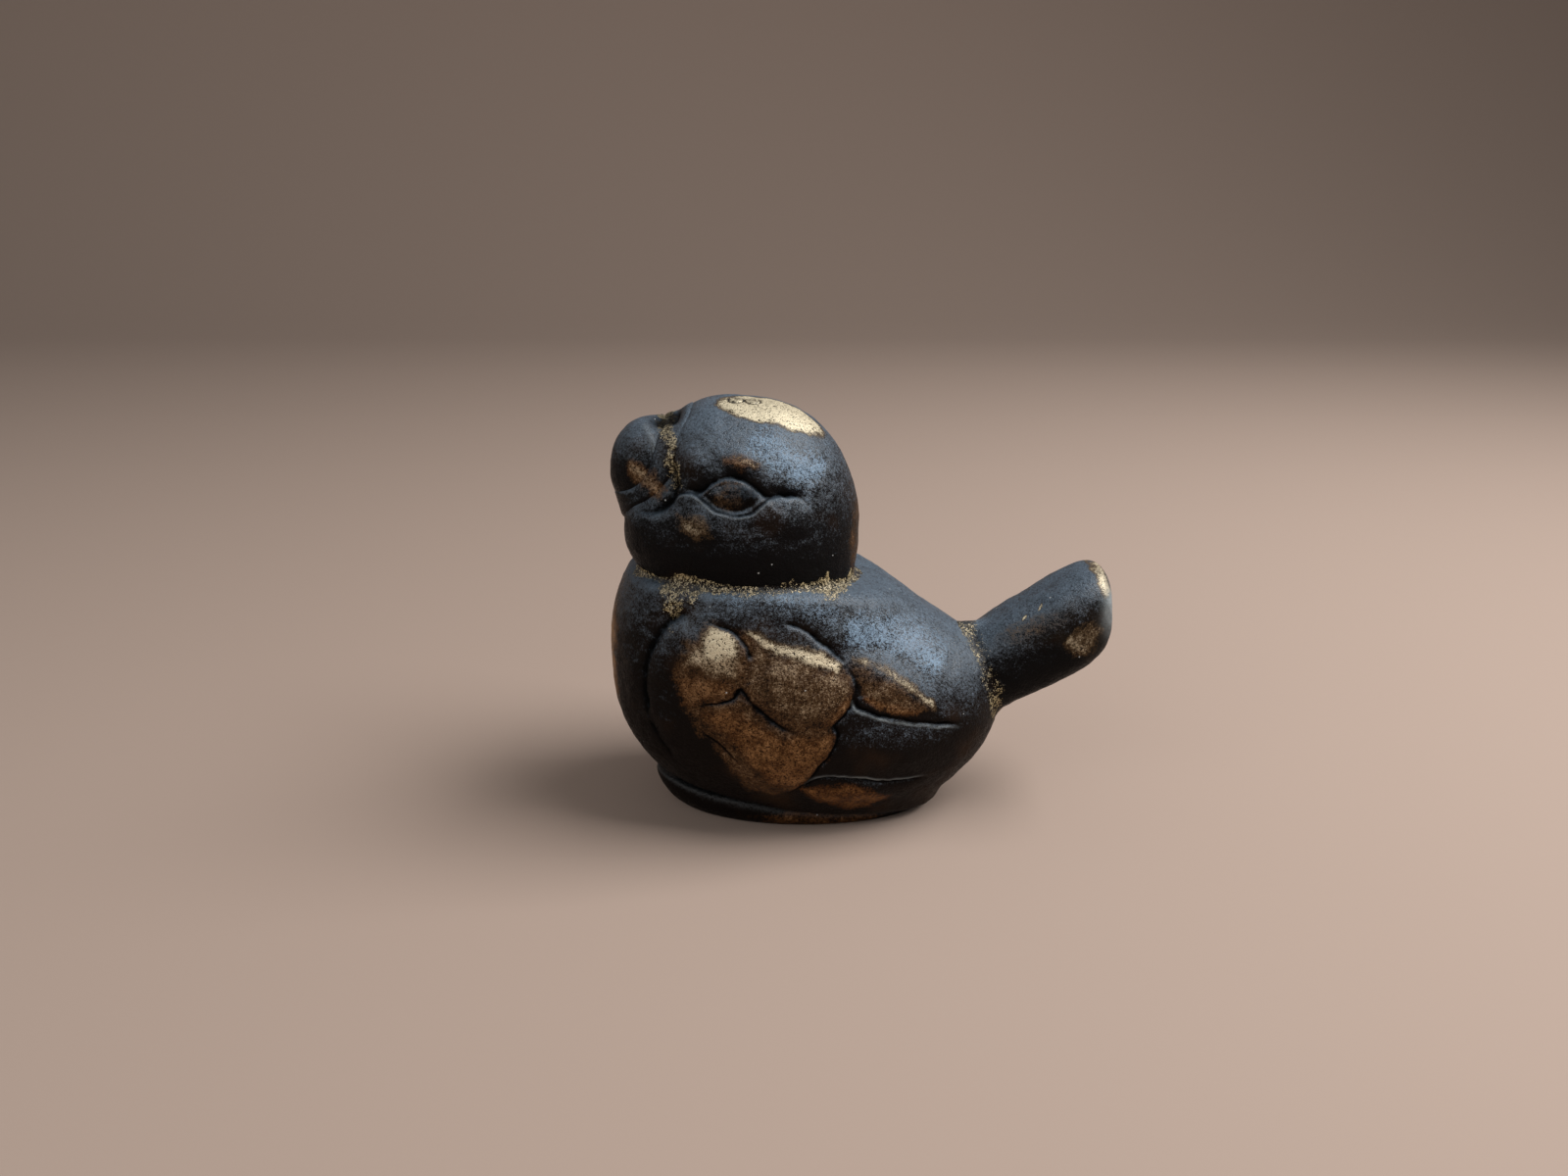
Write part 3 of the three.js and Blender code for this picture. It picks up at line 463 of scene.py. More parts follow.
class Worn:
    """Where the patina is rubbed through: how far, and how pale the metal under it is."""

    def __init__(self, origin, points, seed):
        self.at = points - origin
        self.wear = np.zeros(len(points))
        self.tone = np.full(len(points), 0.3)
        self.ragged = 0.16 * noise(points, 1.6, seed, 4)

    def patch(self, outline, wear, tone, soft=0.6):
        """A patch inside a closed outline on the side of the bird, with a ragged edge."""
        corners = np.array(outline + outline[:1], float)
        x, z = self.at[:, 0], self.at[:, 2]
        gap, _, _ = nearest_on(corners, np.column_stack([x, z]))
        crossings = np.zeros(len(x), int)
        for (x0, z0), (x1, z1) in zip(corners, corners[1:]):
            spans = (z0 > z) != (z1 > z)
            crossings += spans & (x < x0 + (z - z0) * (x1 - x0) / (z1 - z0 + 1e-12))
        depth = np.where(crossings % 2 == 1, gap, -gap)
        self.lay(wear * smoothstep(depth + soft * 2.5 * self.ragged, -soft, soft), tone)

    def oval(self, place, size, wear, tone, soft=0.35, turn=0.0, ragged=1.0):
        """A patch in oval shells round a point, which may be turned about Y."""
        cos, sin = cos_sin(turn)
        dx, dy, dz = (self.at - place).T
        shells = np.sqrt(((dx * cos + dz * sin) * 2 / size[0]) ** 2 + (dy * 2 / size[1]) ** 2
                         + ((dz * cos - dx * sin) * 2 / size[2]) ** 2)
        self.lay(wear * smoothstep(1 - shells + ragged * self.ragged, -soft, soft), tone)

    def broken(self, line):
        """A thin line, broken up along its length."""
        return line * np.clip(0.75 + 2.5 * self.ragged, 0.15, 1)

    def lay(self, wear, tone):
        """Adds a patch; where patches overlap, the more worn one shows."""
        share = wear / (wear + self.wear + 1e-6)
        self.tone += (tone - self.tone) * smoothstep(share, 0.35, 0.65)
        self.wear = np.maximum(self.wear, wear)


def uneven(points, seed):
    """The hand-finished unevenness of a small casting."""
    return 0.09 * noise(points, 5.0, seed, 2) + 0.04 * noise(points, 1.1, seed + 1, 3)


def crumbs(points, grit, seed):
    """Height of the filler's crumbs where they stick to a surface."""
    large = 0.26 * grains(points, CRUMB_SIZE, seed)
    small = 0.1 * grains(points, SMALL_CRUMB_SIZE, seed + 1)
    return grit * (large + small - 0.05)


def painted_reflection_along(points, origin, path, width):
    """Where a painted pale blue reflection lies along a path on the side of the bird."""
    gap, _, share = nearest_on(spline(path), points[:, [0, 2]] - origin[[0, 2]])
    ends = smoothstep(share, 0, 0.15) * smoothstep(share, 1, 0.85)
    return ends * np.exp(-((gap / width) ** 2)) * (points[:, 1] < 0)


def pit_dent(points):
    """Depth share of the open pit on top of the beak's root; the same share darkens the pit as painted
    shade.
    """
    return np.minimum(1.5 * np.exp(-(((points - PIT) / PIT_RADII) ** 2).sum(axis=1)), 1)


def lump(points):
    """Height of the drop of filler on top of the tail's root."""
    return LUMP_HEIGHT * np.exp(-(((points - LUMP) / LUMP_RADIUS) ** 2).sum(axis=1))


def neck_band(points):
    """How far down the shoulder the neck's crumbs reach, wider before and behind the wing."""
    around = np.degrees(np.arctan2(np.abs(points[:, 1]), points[:, 0] - SKULL[0]))
    reach = np.full(len(points), NECK_BAND)
    for place, spread, depth in NECK_BANDS:
        reach += depth * np.exp(-(((around - place) / spread) ** 2))
    return reach


def body_grit(points):
    """Crumbs round the neck and, fewer, round the tail's root."""
    edge = 0.4 * noise(points, 1.5, 11)
    neck = 0.85 * smoothstep(cranium(points) / neck_band(points) + edge, 1.25, 0.3)
    tail = 0.6 * smoothstep(tail_form(points) + 2 * edge, 2.2, 0.0)
    return np.maximum(neck * (points[:, 2] > SHOULDER_Z), tail)


def beak_grit(points):
    """Crumbs lie in the upper part of the crease behind the beak."""
    gap, _, share = nearest_on(spline(BEAK_CREASE[:7]), points[:, [0, 2]] - EYE[[0, 2]])
    edge = 0.35 * noise(points, 1.0, 13)
    return 0.9 * smoothstep(gap + edge, 1.15, 0.25) * smoothstep(share, 1.0, 0.6)


def head_grit(points):
    """Crumbs behind the beak, and a few round the foot of the head."""
    edge = 0.4 * noise(points, 1.2, 12)
    return np.maximum(beak_grit(points), 0.5 * smoothstep(above_neck(points) + edge, 0.7, 0.0))


def side_fade(normals, room):
    """Carving dies away where the surface stops facing sideways and near a seam."""
    return smoothstep(np.abs(normals[:, 1]), 0.12, 0.45) * smoothstep(room, 0.3, 2.6)


def make_body(material):
    directions, quads = quad_sphere(BODY_CELLS)
    points = reach_surface(body_form, CHEST, directions, 40)
    normals = normals_of(body_form, points)
    wing = carve_wing(points)
    room = np.minimum(-above_neck(points), points[:, 2] - base_top(points[:, 0]))
    shown = side_fade(normals, room)
    grit = body_grit(points)
    groove = np.minimum(wing.groove * shown, 1)
    height = shown * wing.height + uneven(points, 3) + crumbs(points, grit, 21) + 0.5 * lump(points)
    worn = wear_of_body(points)
    # The carving's lit lips carry a painted highlight.
    marks = dict(wear=worn.wear * (1 - 0.95 * groove), tone=worn.tone, grit=grit, groove=groove,
                 painted_highlight=0.6 * worn.broken(wing.lip * shown), painted_reflection=painted_reflection_of_body(points))
    points = points + normals * height[:, None]
    return make_piece("body_skin", points, quads, marks, material, "body_casting")


def painted_reflection_of_body(points):
    """A broad band of painted reflection down the back, and a faint one over the wing."""
    back = [(8.6, 8.4), (12.2, 7.0), (15.6, 5.8), (18.6, 4.0), (22.0, 1.0)]
    over_wing = [(-6.0, 11.4), (-1.0, 11.9), (3.0, 11.3), (7.0, 9.8), (10.5, 8.4)]
    broad = painted_reflection_along(points, WING, back, 1.9)
    faint = painted_reflection_along(points, WING, over_wing, 1.5)
    return 0.75 * broad + 0.35 * faint


# Worn patches of the wing: corners (x, z) from the wing's point
COVERTS = [(-8.6, 5.5), (-7.0, 8.0), (-4.8, 8.9), (-2.0, 8.6), (0.0, 8.1), (5.2, 6.5), (9.3, 4.3),
           (10.9, 1.4), (10.4, -0.4), (8.6, -2.6), (9.0, -3.9), (8.3, -5.7), (6.8, -7.9), (4.7, -11.0),
           (1.7, -13.2), (-1.4, -12.6), (-3.2, -9.4), (-4.6, -6.4), (-6.6, -3.6), (-8.6, -0.8),
           (-9.5, 2.6)]
LOWER_COVERT = [(-6.0, -0.6), (-3.1, -0.4), (-0.4, -1.5), (2.3, -3.2), (5.4, -3.4), (8.3, -2.9),
                (8.9, -3.9), (8.2, -5.7), (6.6, -7.8), (4.7, -10.8), (2.4, -11.4), (-1.0, -7.8),
                (-4.0, -4.4), (-6.2, -2.2)]
MIDDLE_COVERT = [(-1.0, 5.2), (-0.3, 7.4), (4.6, 5.7), (9.2, 3.6), (10.6, 1.4), (9.8, 0.0), (7.4, -1.8),
                 (5.0, -2.4), (2.3, -1.7), (-0.6, 1.2), (-1.6, 3.2)]
MIDDLE_CORNER = [(10.9, 1.8), (10.3, -0.4), (8.6, -2.7), (5.8, -3.6), (7.0, -1.8), (9.0, 0.2)]
MIDDLE_RIM = [(-1.4, 8.3), (0.0, 8.0), (2.7, 7.1), (5.2, 6.4), (7.3, 5.8), (9.3, 4.3), (8.7, 3.3),
              (6.9, 4.2), (4.6, 5.0), (1.9, 5.6), (0.6, 6.6)]
SHOULDER_FOOT = [(-9.2, 2.6), (-7.0, 3.6), (-3.2, 3.4), (-2.1, 1.9), (-3.1, 0.7), (-6.2, -0.2),
                 (-8.4, -0.6)]
SHOULDER_GLOW = [(-8.2, 5.6), (-6.8, 8.0), (-4.8, 8.9), (-3.0, 8.6), (-1.8, 7.2), (-1.3, 5.2),
                 (-2.4, 2.8), (-4.8, 2.8), (-6.4, 3.8), (-8.0, 4.4)]
SHOULDER_TOP = [(-6.2, 7.4), (-5.0, 8.5), (-3.4, 8.5), (-2.0, 7.2), (-2.3, 5.6), (-4.2, 5.2),
                (-5.8, 5.4)]
UPPER_FLIGHT = [(9.9, 4.4), (12.5, 3.7), (15.7, 1.2), (19.6, -2.0), (17.9, -2.7), (14.7, -1.9),
                (11.4, 0.2)]
UPPER_FLIGHT_FOOT = [(11.6, 0.8), (14.8, -0.6), (18.8, -1.9), (17.9, -2.8), (14.7, -2.0), (11.3, 0.1)]
UPPER_FLIGHT_RIM = [(10.2, 5.0), (12.5, 4.4), (15.1, 2.7), (16.8, 1.1), (19.7, -1.0), (19.9, -2.2),
                    (18.4, -1.3), (16.4, 0.4), (14.4, 2.0), (12.3, 3.5), (10.4, 4.2)]
UPPER_FLIGHT_TIP = [(16.9, 0.8), (19.6, -1.0), (19.7, -1.9), (18.2, -1.0)]
LOWEST_FLIGHT = [(4.6, -11.0), (7.7, -10.4), (9.5, -10.4), (12.9, -11.5), (15.8, -13.2), (13.1, -15.2),
                 (9.7, -14.9), (5.7, -12.8)]


def wear_of_body(points):
    """Gold on the shoulder and the feathers' rims, paler on top partly as a painted highlight; orange and
    olive on the coverts; a brown breast edge that is a painted reflection of a brown floor.
    """
    worn = Worn(WING, points, 31)
    worn.patch(COVERTS, wear=0.40, tone=0.4, soft=1.1)
    worn.patch(LOWER_COVERT, wear=0.56, tone=0.05, soft=1.2)
    worn.patch(MIDDLE_COVERT, wear=0.47, tone=0.6, soft=1.0)
    worn.patch(MIDDLE_CORNER, wear=0.54, tone=0.12, soft=1.0)
    worn.patch(SHOULDER_FOOT, wear=0.55, tone=0.12, soft=1.3)
    worn.patch(UPPER_FLIGHT, wear=0.41, tone=0.5, soft=0.9)
    worn.patch(UPPER_FLIGHT_FOOT, wear=0.5, tone=0.1, soft=0.6)
    worn.patch(LOWEST_FLIGHT, wear=0.53, tone=0.05, soft=0.8)
    # The shoulder's top and the feathers' upper rims are rubbed to bare metal; their pale tone is partly a
    # painted highlight where they face the light.
    worn.patch(SHOULDER_GLOW, wear=0.62, tone=0.7, soft=1.5)
    worn.patch(SHOULDER_TOP, wear=0.96, tone=0.95, soft=1.1)
    worn.patch(MIDDLE_RIM, wear=0.95, tone=0.9, soft=0.8)
    worn.patch(UPPER_FLIGHT_RIM, wear=0.6, tone=0.9, soft=0.6)
    worn.patch(UPPER_FLIGHT_TIP, wear=0.82, tone=0.95, soft=0.4)
    # The breast's brown edge, laid as wear, is a painted reflection of a brown floor.
    worn.oval((-19.0, -3.0, 2.0), (5.6, 12.0, 22.0), wear=0.72, tone=0.15)
    return worn


def make_head(material):
    directions, quads = quad_sphere(HEAD_CELLS)
    points = reach_surface(head_form, SKULL, directions, 30)
    normals = normals_of(head_form, points)
    face = carve_face(points)
    shown = side_fade(normals, above_neck(points))
    grit = head_grit(points)
    dent = pit_dent(points)
    groove = np.minimum(face.groove * shown + dent, 1)
    height = shown * face.height + uneven(points, 5) + crumbs(points, grit, 22) - PIT_DEPTH * dent
    for x, y in CROWN_PINS:
        gap = (np.hypot(points[:, 0] - x, points[:, 1] - y) - CROWN_PIN_RADIUS) / 0.12
        ring = np.exp(-gap * gap) * (points[:, 2] > SKULL[2])
        height -= 0.08 * ring
        groove = np.maximum(groove, 0.8 * ring)
    worn = wear_of_face(points)
    # A band of painted reflection lies above the eye.
    above_eye = [(1.6, 7.0), (3.6, 5.0), (6.2, 3.3), (8.4, 2.4), (10.6, 1.6)]
    # The ledge's lit line carries a painted highlight.
    marks = dict(wear=worn.wear * (1 - groove), tone=worn.tone, grit=grit, groove=groove,
                 painted_highlight=0.3 * worn.broken(face.lip * shown),
                 painted_reflection=0.7 * painted_reflection_along(points, EYE, above_eye, 1.9))
    points = points + normals * height[:, None]
    return make_piece("head_skin", points, quads, marks, material, "head_casting")


# Worn patches of the face: corners (x, z) from the eye
BROW_FILM = [(-1.4, 4.0), (0.1, 4.6), (1.4, 4.1), (2.8, 3.2), (0.8, 2.7), (-1.2, 3.0)]
BROW_METAL = [(-0.6, 4.0), (0.4, 4.3), (2.6, 3.3), (2.2, 2.9), (0.4, 3.6)]
BEAK_FILM = [(-11.8, 2.6), (-10.7, 2.5), (-9.0, 1.7), (-7.8, 0.2), (-8.6, -0.8), (-10.2, -0.4),
             (-11.4, 0.8)]
BEAK_METAL = [(-11.4, 2.0), (-10.4, 1.9), (-9.2, 1.0), (-9.6, 0.6), (-10.8, 1.2)]
CHEEK = [(-6.4, -1.9), (-4.3, -1.9), (-2.2, -2.6), (-2.2, -4.0), (-3.8, -4.6), (-5.6, -3.9)]


def wear_of_face(points):
    """Pale crown, and a little on brow, eyeball, beak, cheek and nape."""
    worn = Worn(EYE, points, 32)
    worn.oval((4.0, -2.7, 7.6), (12.6, 6.4, 6.0), wear=1.0, tone=1.0, soft=0.2, turn=-18, ragged=0.45)
    worn.patch(BROW_FILM, wear=0.5, tone=0.3, soft=0.8)
    worn.patch(BROW_METAL, wear=0.62, tone=0.7, soft=0.6)
    worn.oval((-0.2, -11.0, 0.4), (5.0, 6.0, 3.4), wear=0.42, tone=0.6, soft=0.6)
    worn.patch(BEAK_FILM, wear=0.6, tone=0.4, soft=1.2)
    worn.patch(BEAK_METAL, wear=0.8, tone=0.7, soft=0.8)
    worn.patch(CHEEK, wear=0.5, tone=0.8, soft=1.0)
    worn.oval((13.6, 0.0, -7.0), (3.4, 14.0, 10.0), wear=0.27, tone=0.3)
    return worn


def beak_crest(points):
    """The faint crest of the beak's rim, in front of the crease."""
    rim = spline([(-10.6, 6.9), (-10.0, 6.2), (-9.3, 5.2), (-8.7, 3.7), (-8.1, 2.3), (-7.3, 1.5)])
    gap, _, share = nearest_on(rim, points[:, [0, 2]] - EYE[[0, 2]])
    return np.exp(-((gap / 0.35) ** 2)) * smoothstep(share, 0, 0.2) * smoothstep(share, 1, 0.8)


def make_beak(material):
    directions, quads = quad_sphere(BEAK_CELLS)
    points = reach_surface(beak_form, BEAK, directions, 20)
    normals = normals_of(beak_form, points)
    grit = beak_grit(points)
    dent = pit_dent(points)
    height = uneven(points, 7) + crumbs(points, grit, 23) - PIT_DEPTH * dent
    worn = wear_of_face(points)
    # The beak's crest carries a painted highlight over its slight rise.
    crest = beak_crest(points)
    marks = dict(wear=worn.wear, tone=worn.tone, painted_highlight=0.15 * crest, grit=grit, groove=dent)
    points = points + normals * (height + 0.06 * crest)[:, None]
    return make_piece("beak_skin", points, quads, marks, material, "beak")


def make_tail(material):
    directions, quads = quad_sphere(TAIL_CELLS)
    points = reach_surface(tail_form, TAIL, directions, 20)
    normals = normals_of(tail_form, points)
    edge = 0.5 * noise(points, 1.3, 14)
    grit = 0.55 * smoothstep(torso(points) + edge, 2.2, 0.0)
    height = uneven(points, 9) + crumbs(points, grit, 24) + lump(points)
    worn = wear_of_tail(points)
    # A painted highlight lies on the tail's rim.
    rim = (points - TAIL - (8.9, -3.8, 6.0)) / (1.1, 2.8, 2.4)
    painted_highlight = worn.broken(np.exp(-(rim**2).sum(axis=1)))
    marks = dict(wear=worn.wear, tone=worn.tone, painted_highlight=painted_highlight, grit=grit)
    points = points + normals * height[:, None]
    return make_piece("tail_skin", points, quads, marks, material, "tail")


# Worn patches of the tail: corners (x, z) from its middle
TAIL_FILM = [(3.0, 2.0), (4.3, 4.2), (6.1, 4.8), (7.7, 3.7), (6.9, 1.0), (4.5, 0.7)]
TAIL_METAL = [(3.1, 2.1), (4.3, 4.3), (5.0, 4.1), (3.9, 1.9)]
TAIL_RIM = [(6.8, 10.0), (8.3, 10.0), (9.2, 7.6), (7.9, 7.6), (7.3, 8.7)]


def wear_of_tail(points):
    """Faint wear along the upper edge, a worn place on the side, a pale rim and two thin scratches."""
    worn = Worn(TAIL, points, 34)
    worn.oval((-1.4, -5.4, 3.6), (11.0, 4.0, 2.4), wear=0.34, tone=0.8, soft=0.8, turn=19)
    worn.patch(TAIL_FILM, wear=0.52, tone=0.8, soft=1.1)
    worn.patch(TAIL_METAL, wear=0.7, tone=0.85, soft=0.6)
    worn.patch(TAIL_RIM, wear=0.82, tone=0.9, soft=0.5)
    worn.oval((0.7, -3.5, 5.9), (0.9, 2.0, 0.18), wear=0.95, tone=1.0, turn=56, ragged=0.1)
    worn.oval((-1.1, -3.8, 4.6), (0.8, 2.0, 0.18), wear=0.95, tone=1.0, turn=45, ragged=0.1)
    return worn


def base_rings():
    """How far in and how high each ring lies, from the middle of the foot round the lip to the top."""
    arc = np.linspace(-math.pi / 2, math.pi / 2, BASE_ARC_STEPS)
    inset = np.linspace(1, 0, BASE_RINGS, endpoint=False) * (BASE_WIDTH / 2 - 2 * BASE_ROUNDING)
    foot_rings = [(BASE_ROUNDING + gap, 0.0) for gap in inset]
    lip_rings = [(BASE_ROUNDING * (1 - math.cos(a)), (1 + math.sin(a)) / 2) for a in arc]
    top_rings = [(BASE_ROUNDING + gap, 1.0) for gap in inset[::-1]]
    return foot_rings + lip_rings + top_rings


def base_points(rings):
    turn = full_turn(BASE_STATIONS)
    points = []
    for gap, level in rings:
        x = BASE_X + (BASE_LENGTH / 2 - gap) * np.cos(turn)
        y = (BASE_WIDTH / 2 - gap) * np.sin(turn)
        z = level * base_top(x) / (1 - BASE_SLOPE * BASE_LEAN)
        points.append(np.stack([x - BASE_LEAN * z, y, z], axis=1))
    return np.concatenate(points)


def base_faces(ring_count):
    """Quads between the rings, and one face that closes each end."""
    around = np.arange(BASE_STATIONS)
    beside = (around + 1) % BASE_STATIONS
    faces = []
    for ring in range(ring_count - 1):
        low, high = ring * BASE_STATIONS, (ring + 1) * BASE_STATIONS
        quads = np.stack([low + around, low + beside, high + beside, high + around], axis=1)
        faces += quads.tolist()
    faces.append(around[::-1].tolist())
    faces.append(((ring_count - 1) * BASE_STATIONS + around).tolist())
    return np.array(faces, dtype=object)


def make_base(material):
    """The closing plate: an oval with a rounded lip, thicker under the breast."""
    rings = base_rings()
    points = base_points(rings)
    lift = smoothstep(points[:, 2], 0.2, 1.0)
    points[:, 2] += lift * (0.08 * noise(points, 2.5, 15) + 0.03 * noise(points, 0.7, 16))
    worn = Worn(np.array([BASE_X, 0.0, 0.0]), points, 35)
    # The brown band along the near lip, laid as wear, is a painted reflection of a brown floor.
    worn.oval((4.0, -8.6, 1.0), (22.0, 3.0, 2.6), wear=0.36, tone=0.15)
    marks = dict(wear=worn.wear, tone=worn.tone)
    return make_piece("base_skin", points, base_faces(len(rings)), marks, material,
                      "base_plate")


def make_seam(name, node, core, ups, outs, first, second, blend, reach, sunk, grit, seed,
              material):
    """Filler in the crease between two castings: it fills their soft union, roughly and in crumbs.

    core is a closed line inside both castings. The filler's surface is cast from it in the planes
    that outs and ups span at each of its points, and no farther than reach. Rays that run back
    into the castings are cut short there, where nothing shows."""
    stations = len(core)
    turn = full_turn(SEAM_SIDES)
    directions = (outs[:, None, :] * np.cos(turn)[None, :, None]
                  + ups[:, None, :] * np.sin(turn)[None, :, None]).reshape(-1, 3)
    starts = np.repeat(core, SEAM_SIDES, axis=0)
    blends = np.repeat(blend, SEAM_SIDES)

    def filler(p):
        return soft_min(first(p), second(p), blends) + sunk

    outward = np.tile(np.cos(turn), stations) > -0.35
    points = reach_surface(filler, starts, directions, np.where(outward, reach, 0.8))
    dent = pit_dent(points)
    stuck = grit(points)
    height = crumbs(points, stuck, seed) + 0.06 * noise(points, 2.2, seed + 2)
    height += lump(points) - PIT_DEPTH * dent
    # The face's worn places run on over the filler beside them
    worn = wear_of_face(points)
    marks = dict(wear=worn.wear, tone=worn.tone, grit=stuck, groove=dent)
    points = points + directions * height[:, None]
    here = np.arange(stations)[:, None] * SEAM_SIDES + np.arange(SEAM_SIDES)
    ahead = np.roll(here, -1, axis=0)
    quads = np.stack([here, np.roll(here, -1, axis=1), np.roll(ahead, -1, axis=1), ahead], axis=-1)
    return make_piece(name, points, quads.reshape(-1, 4), marks, material, node)


def neck_seam_grit(points):
    return np.clip(0.5 + 0.12 * neck_band(points) + 0.45 * noise(points, 1.6, 44), 0, 1)


def make_neck_seam(material):
    turn = full_turn(NECK_STATIONS)
    outs = np.stack([np.cos(turn), np.sin(turn), np.zeros(NECK_STATIONS)], axis=1)
    ups = np.tile([0.0, 0.0, 1.0], (NECK_STATIONS, 1))
    starts = np.tile([SKULL[0], 0.0, NECK_Z], (NECK_STATIONS, 1))
    core = reach_surface(cranium, starts, outs, 25) - outs
    core[:, 2] -= above_neck(core)
    return make_seam("neck_filler", "neck_braze", core, ups, outs, body_form, cranium,
                     blend=0.9 + 0.3 * neck_band(core), reach=2.6, sunk=0.1, grit=neck_seam_grit,
                     seed=41, material=material)


def seam_between(form, host, start, axis, length):
    """The line where one form enters another, found round the form's own axis."""
    turn = full_turn(ROOT_STATIONS)
    side = np.array([0.0, 1.0, 0.0])
    up = np.cross(side, axis)
    outs = side * np.cos(turn)[:, None] + up * np.sin(turn)[:, None]
    free, buried = np.zeros(ROOT_STATIONS), np.full(ROOT_STATIONS, float(length))
    for _ in range(20):
        middle = (free + buried) / 2
        rim = reach_surface(form, start + axis * middle[:, None], outs, 20)
        clear = host(rim) > 0
        free = np.where(clear, middle, free)
        buried = np.where(clear, buried, middle)
    return reach_surface(form, start + axis * free[:, None], outs, 20), outs


def make_root_seam(name, node, form, host, start, axis, length, blend, sunk, grit, seed,
                   material):
    """Filler round the root of the beak or the tail, where axis runs into the host."""
    rim, outs = seam_between(form, host, start, axis, length)
    core = rim - outs + 0.8 * axis
    ups = np.tile(-axis, (ROOT_STATIONS, 1))
    return make_seam(name, node, core, ups, outs, form, host, blend=np.full(ROOT_STATIONS, blend),
                     reach=2.4, sunk=sunk, grit=grit, seed=seed, material=material)


def tail_seam_grit(points):
    return 0.42 + 0.25 * noise(points, 1.8, 54)


def make_tail_seam(material):
    cos, sin = cos_sin(TAIL_TILT)
    into_body = -np.array([cos, 0.0, sin])
    return make_root_seam("tail_filler", "tail_braze", tail_form, torso, TAIL, into_body,
                          length=9.0, blend=1.6, sunk=0.1, grit=tail_seam_grit, seed=51,
                          material=material)


def make_beak_seam(material):
    tip = BEAK - (BEAK_SIZE[0] / 2 - 1.2, 0.0, 0.0)
    into_head = np.array([1.0, 0.0, 0.0])
    return make_root_seam("beak_filler", "beak_braze", beak_form, cranium, tip, into_head,
                          length=BEAK_SIZE[0] / 2, blend=2.4, sunk=-0.02, grit=beak_grit, seed=61,
                          material=material)


def make_pin(centre, node, material):
    """A core pin, cut flush with the crown, with its rim a little lower than its middle."""
    turn = full_turn(PIN_SIDES)
    circle = np.stack([np.cos(turn), np.sin(turn)], axis=1)
    rings = [centre + share * (CROWN_PIN_RADIUS - CROWN_PIN_GAP) * circle for share in PIN_RINGS]
    flat = np.concatenate([[centre], *rings])
    starts = np.column_stack([flat, np.full(len(flat), SKULL[2])])
    top = reach_surface(head_form, starts, np.tile([0.0, 0.0, 1.0], (len(flat), 1)), 20)
    top[:, 2] += 0.03
    top[-PIN_SIDES:, 2] -= 0.08
    points = np.concatenate([top, top[-PIN_SIDES:] - (0.0, 0.0, CROWN_PIN_LENGTH)])
    around = np.arange(PIN_SIDES)
    beside = (around + 1) % PIN_SIDES
    faces = [[0, 1 + a, 1 + b] for a, b in zip(around, beside)]
    for ring in range(len(PIN_RINGS)):
        low, high = 1 + ring * PIN_SIDES, 1 + (ring + 1) * PIN_SIDES
        faces += [[low + a, high + a, high + b, low + b] for a, b in zip(around, beside)]
    faces.append([1 + len(PIN_RINGS) * PIN_SIDES + a for a in around[::-1]])
    make_piece(node + "_face", points, np.array(faces, dtype=object), {}, material,
               node)


def make_pins(material):
    for centre, node in zip(CROWN_PINS, ("crown_plug_front", "crown_plug_rear")):
        make_pin(centre, node, material)


def add(tree, kind, inputs=None, **settings):
    """A shader node with its settings, and its inputs set or linked."""
    node = tree.nodes.new("ShaderNode" + kind)
    for name, value in settings.items():
        setattr(node, name, value)
    for key, value in (inputs or {}).items():
        if isinstance(value, bpy.types.NodeSocket):
            tree.links.new(value, node.inputs[key])
        else:
            node.inputs[key].default_value = value
    return node


def maths(tree, operation, first, second=0.0, third=0.0):
    return add(tree, "Math", {0: first, 1: second, 2: third}, operation=operation).outputs[0]


def times(tree, first, second):
    return maths(tree, "MULTIPLY", first, second)


def ramp(tree, value, start, end, low=0.0, high=1.0):
    inputs = {"Value": value, "From Min": start, "From Max": end, "To Min": low, "To Max": high}
    return add(tree, "MapRange", inputs, interpolation_type="SMOOTHSTEP").outputs[0]


def mixed(tree, share, first, second):
    return add(tree, "Mix", {0: share, 6: first, 7: second}, data_type="RGBA").outputs[2]


def mottle(tree, size_mm, detail=3.0, roughness=0.55):
    place = add(tree, "TexCoord").outputs["Object"]
    inputs = {"Vector": place, "Scale": 1 / (size_mm * MM), "Detail": detail, "Roughness": roughness}
    return add(tree, "TexNoise", inputs).outputs[0]


def mark(tree, name):
    return add(tree, "Attribute", attribute_name=name).outputs["Fac"]


def new_material(name):
    material = bpy.data.materials.new(name)
    material.use_nodes = True
    tree = material.node_tree
    return material, tree, tree.nodes["Principled BSDF"]


UNDER_BROWN = (0.0050, 0.0032, 0.0025, 1)
UNDER_BLACK = (0.0036, 0.0032, 0.0033, 1)
# Oxide facing up, painted lighter and bluer as top light, and its brightest painted top light
BLUE_TOP_PAINTED_LIGHT = (0.026, 0.033, 0.042, 1)
BLUE_TOP_PAINTED_GLEAM = (0.078, 0.106, 0.138, 1)
GREY_TOP_PAINTED_LIGHT = (0.014, 0.015, 0.016, 1)
GREY_TOP_PAINTED_GLEAM = (0.040, 0.042, 0.045, 1)
ORANGE_FILM = (0.070, 0.026, 0.007, 1)
OLIVE_FILM = (0.062, 0.040, 0.020, 1)
ORANGE_METAL = (0.32, 0.14, 0.04, 1)
PALE_METAL = (0.62, 0.54, 0.38, 1)
# Painted shade, with dirt, in the grooves
GROOVE_SHADE_AND_DIRT = (0.0025, 0.0028, 0.003, 1)
DARK_CRUMBS = (0.045, 0.034, 0.018, 1)
PALE_CRUMBS = (0.53, 0.42, 0.23, 1)
GREY_CRUMBS = (0.33, 0.33, 0.31, 1)
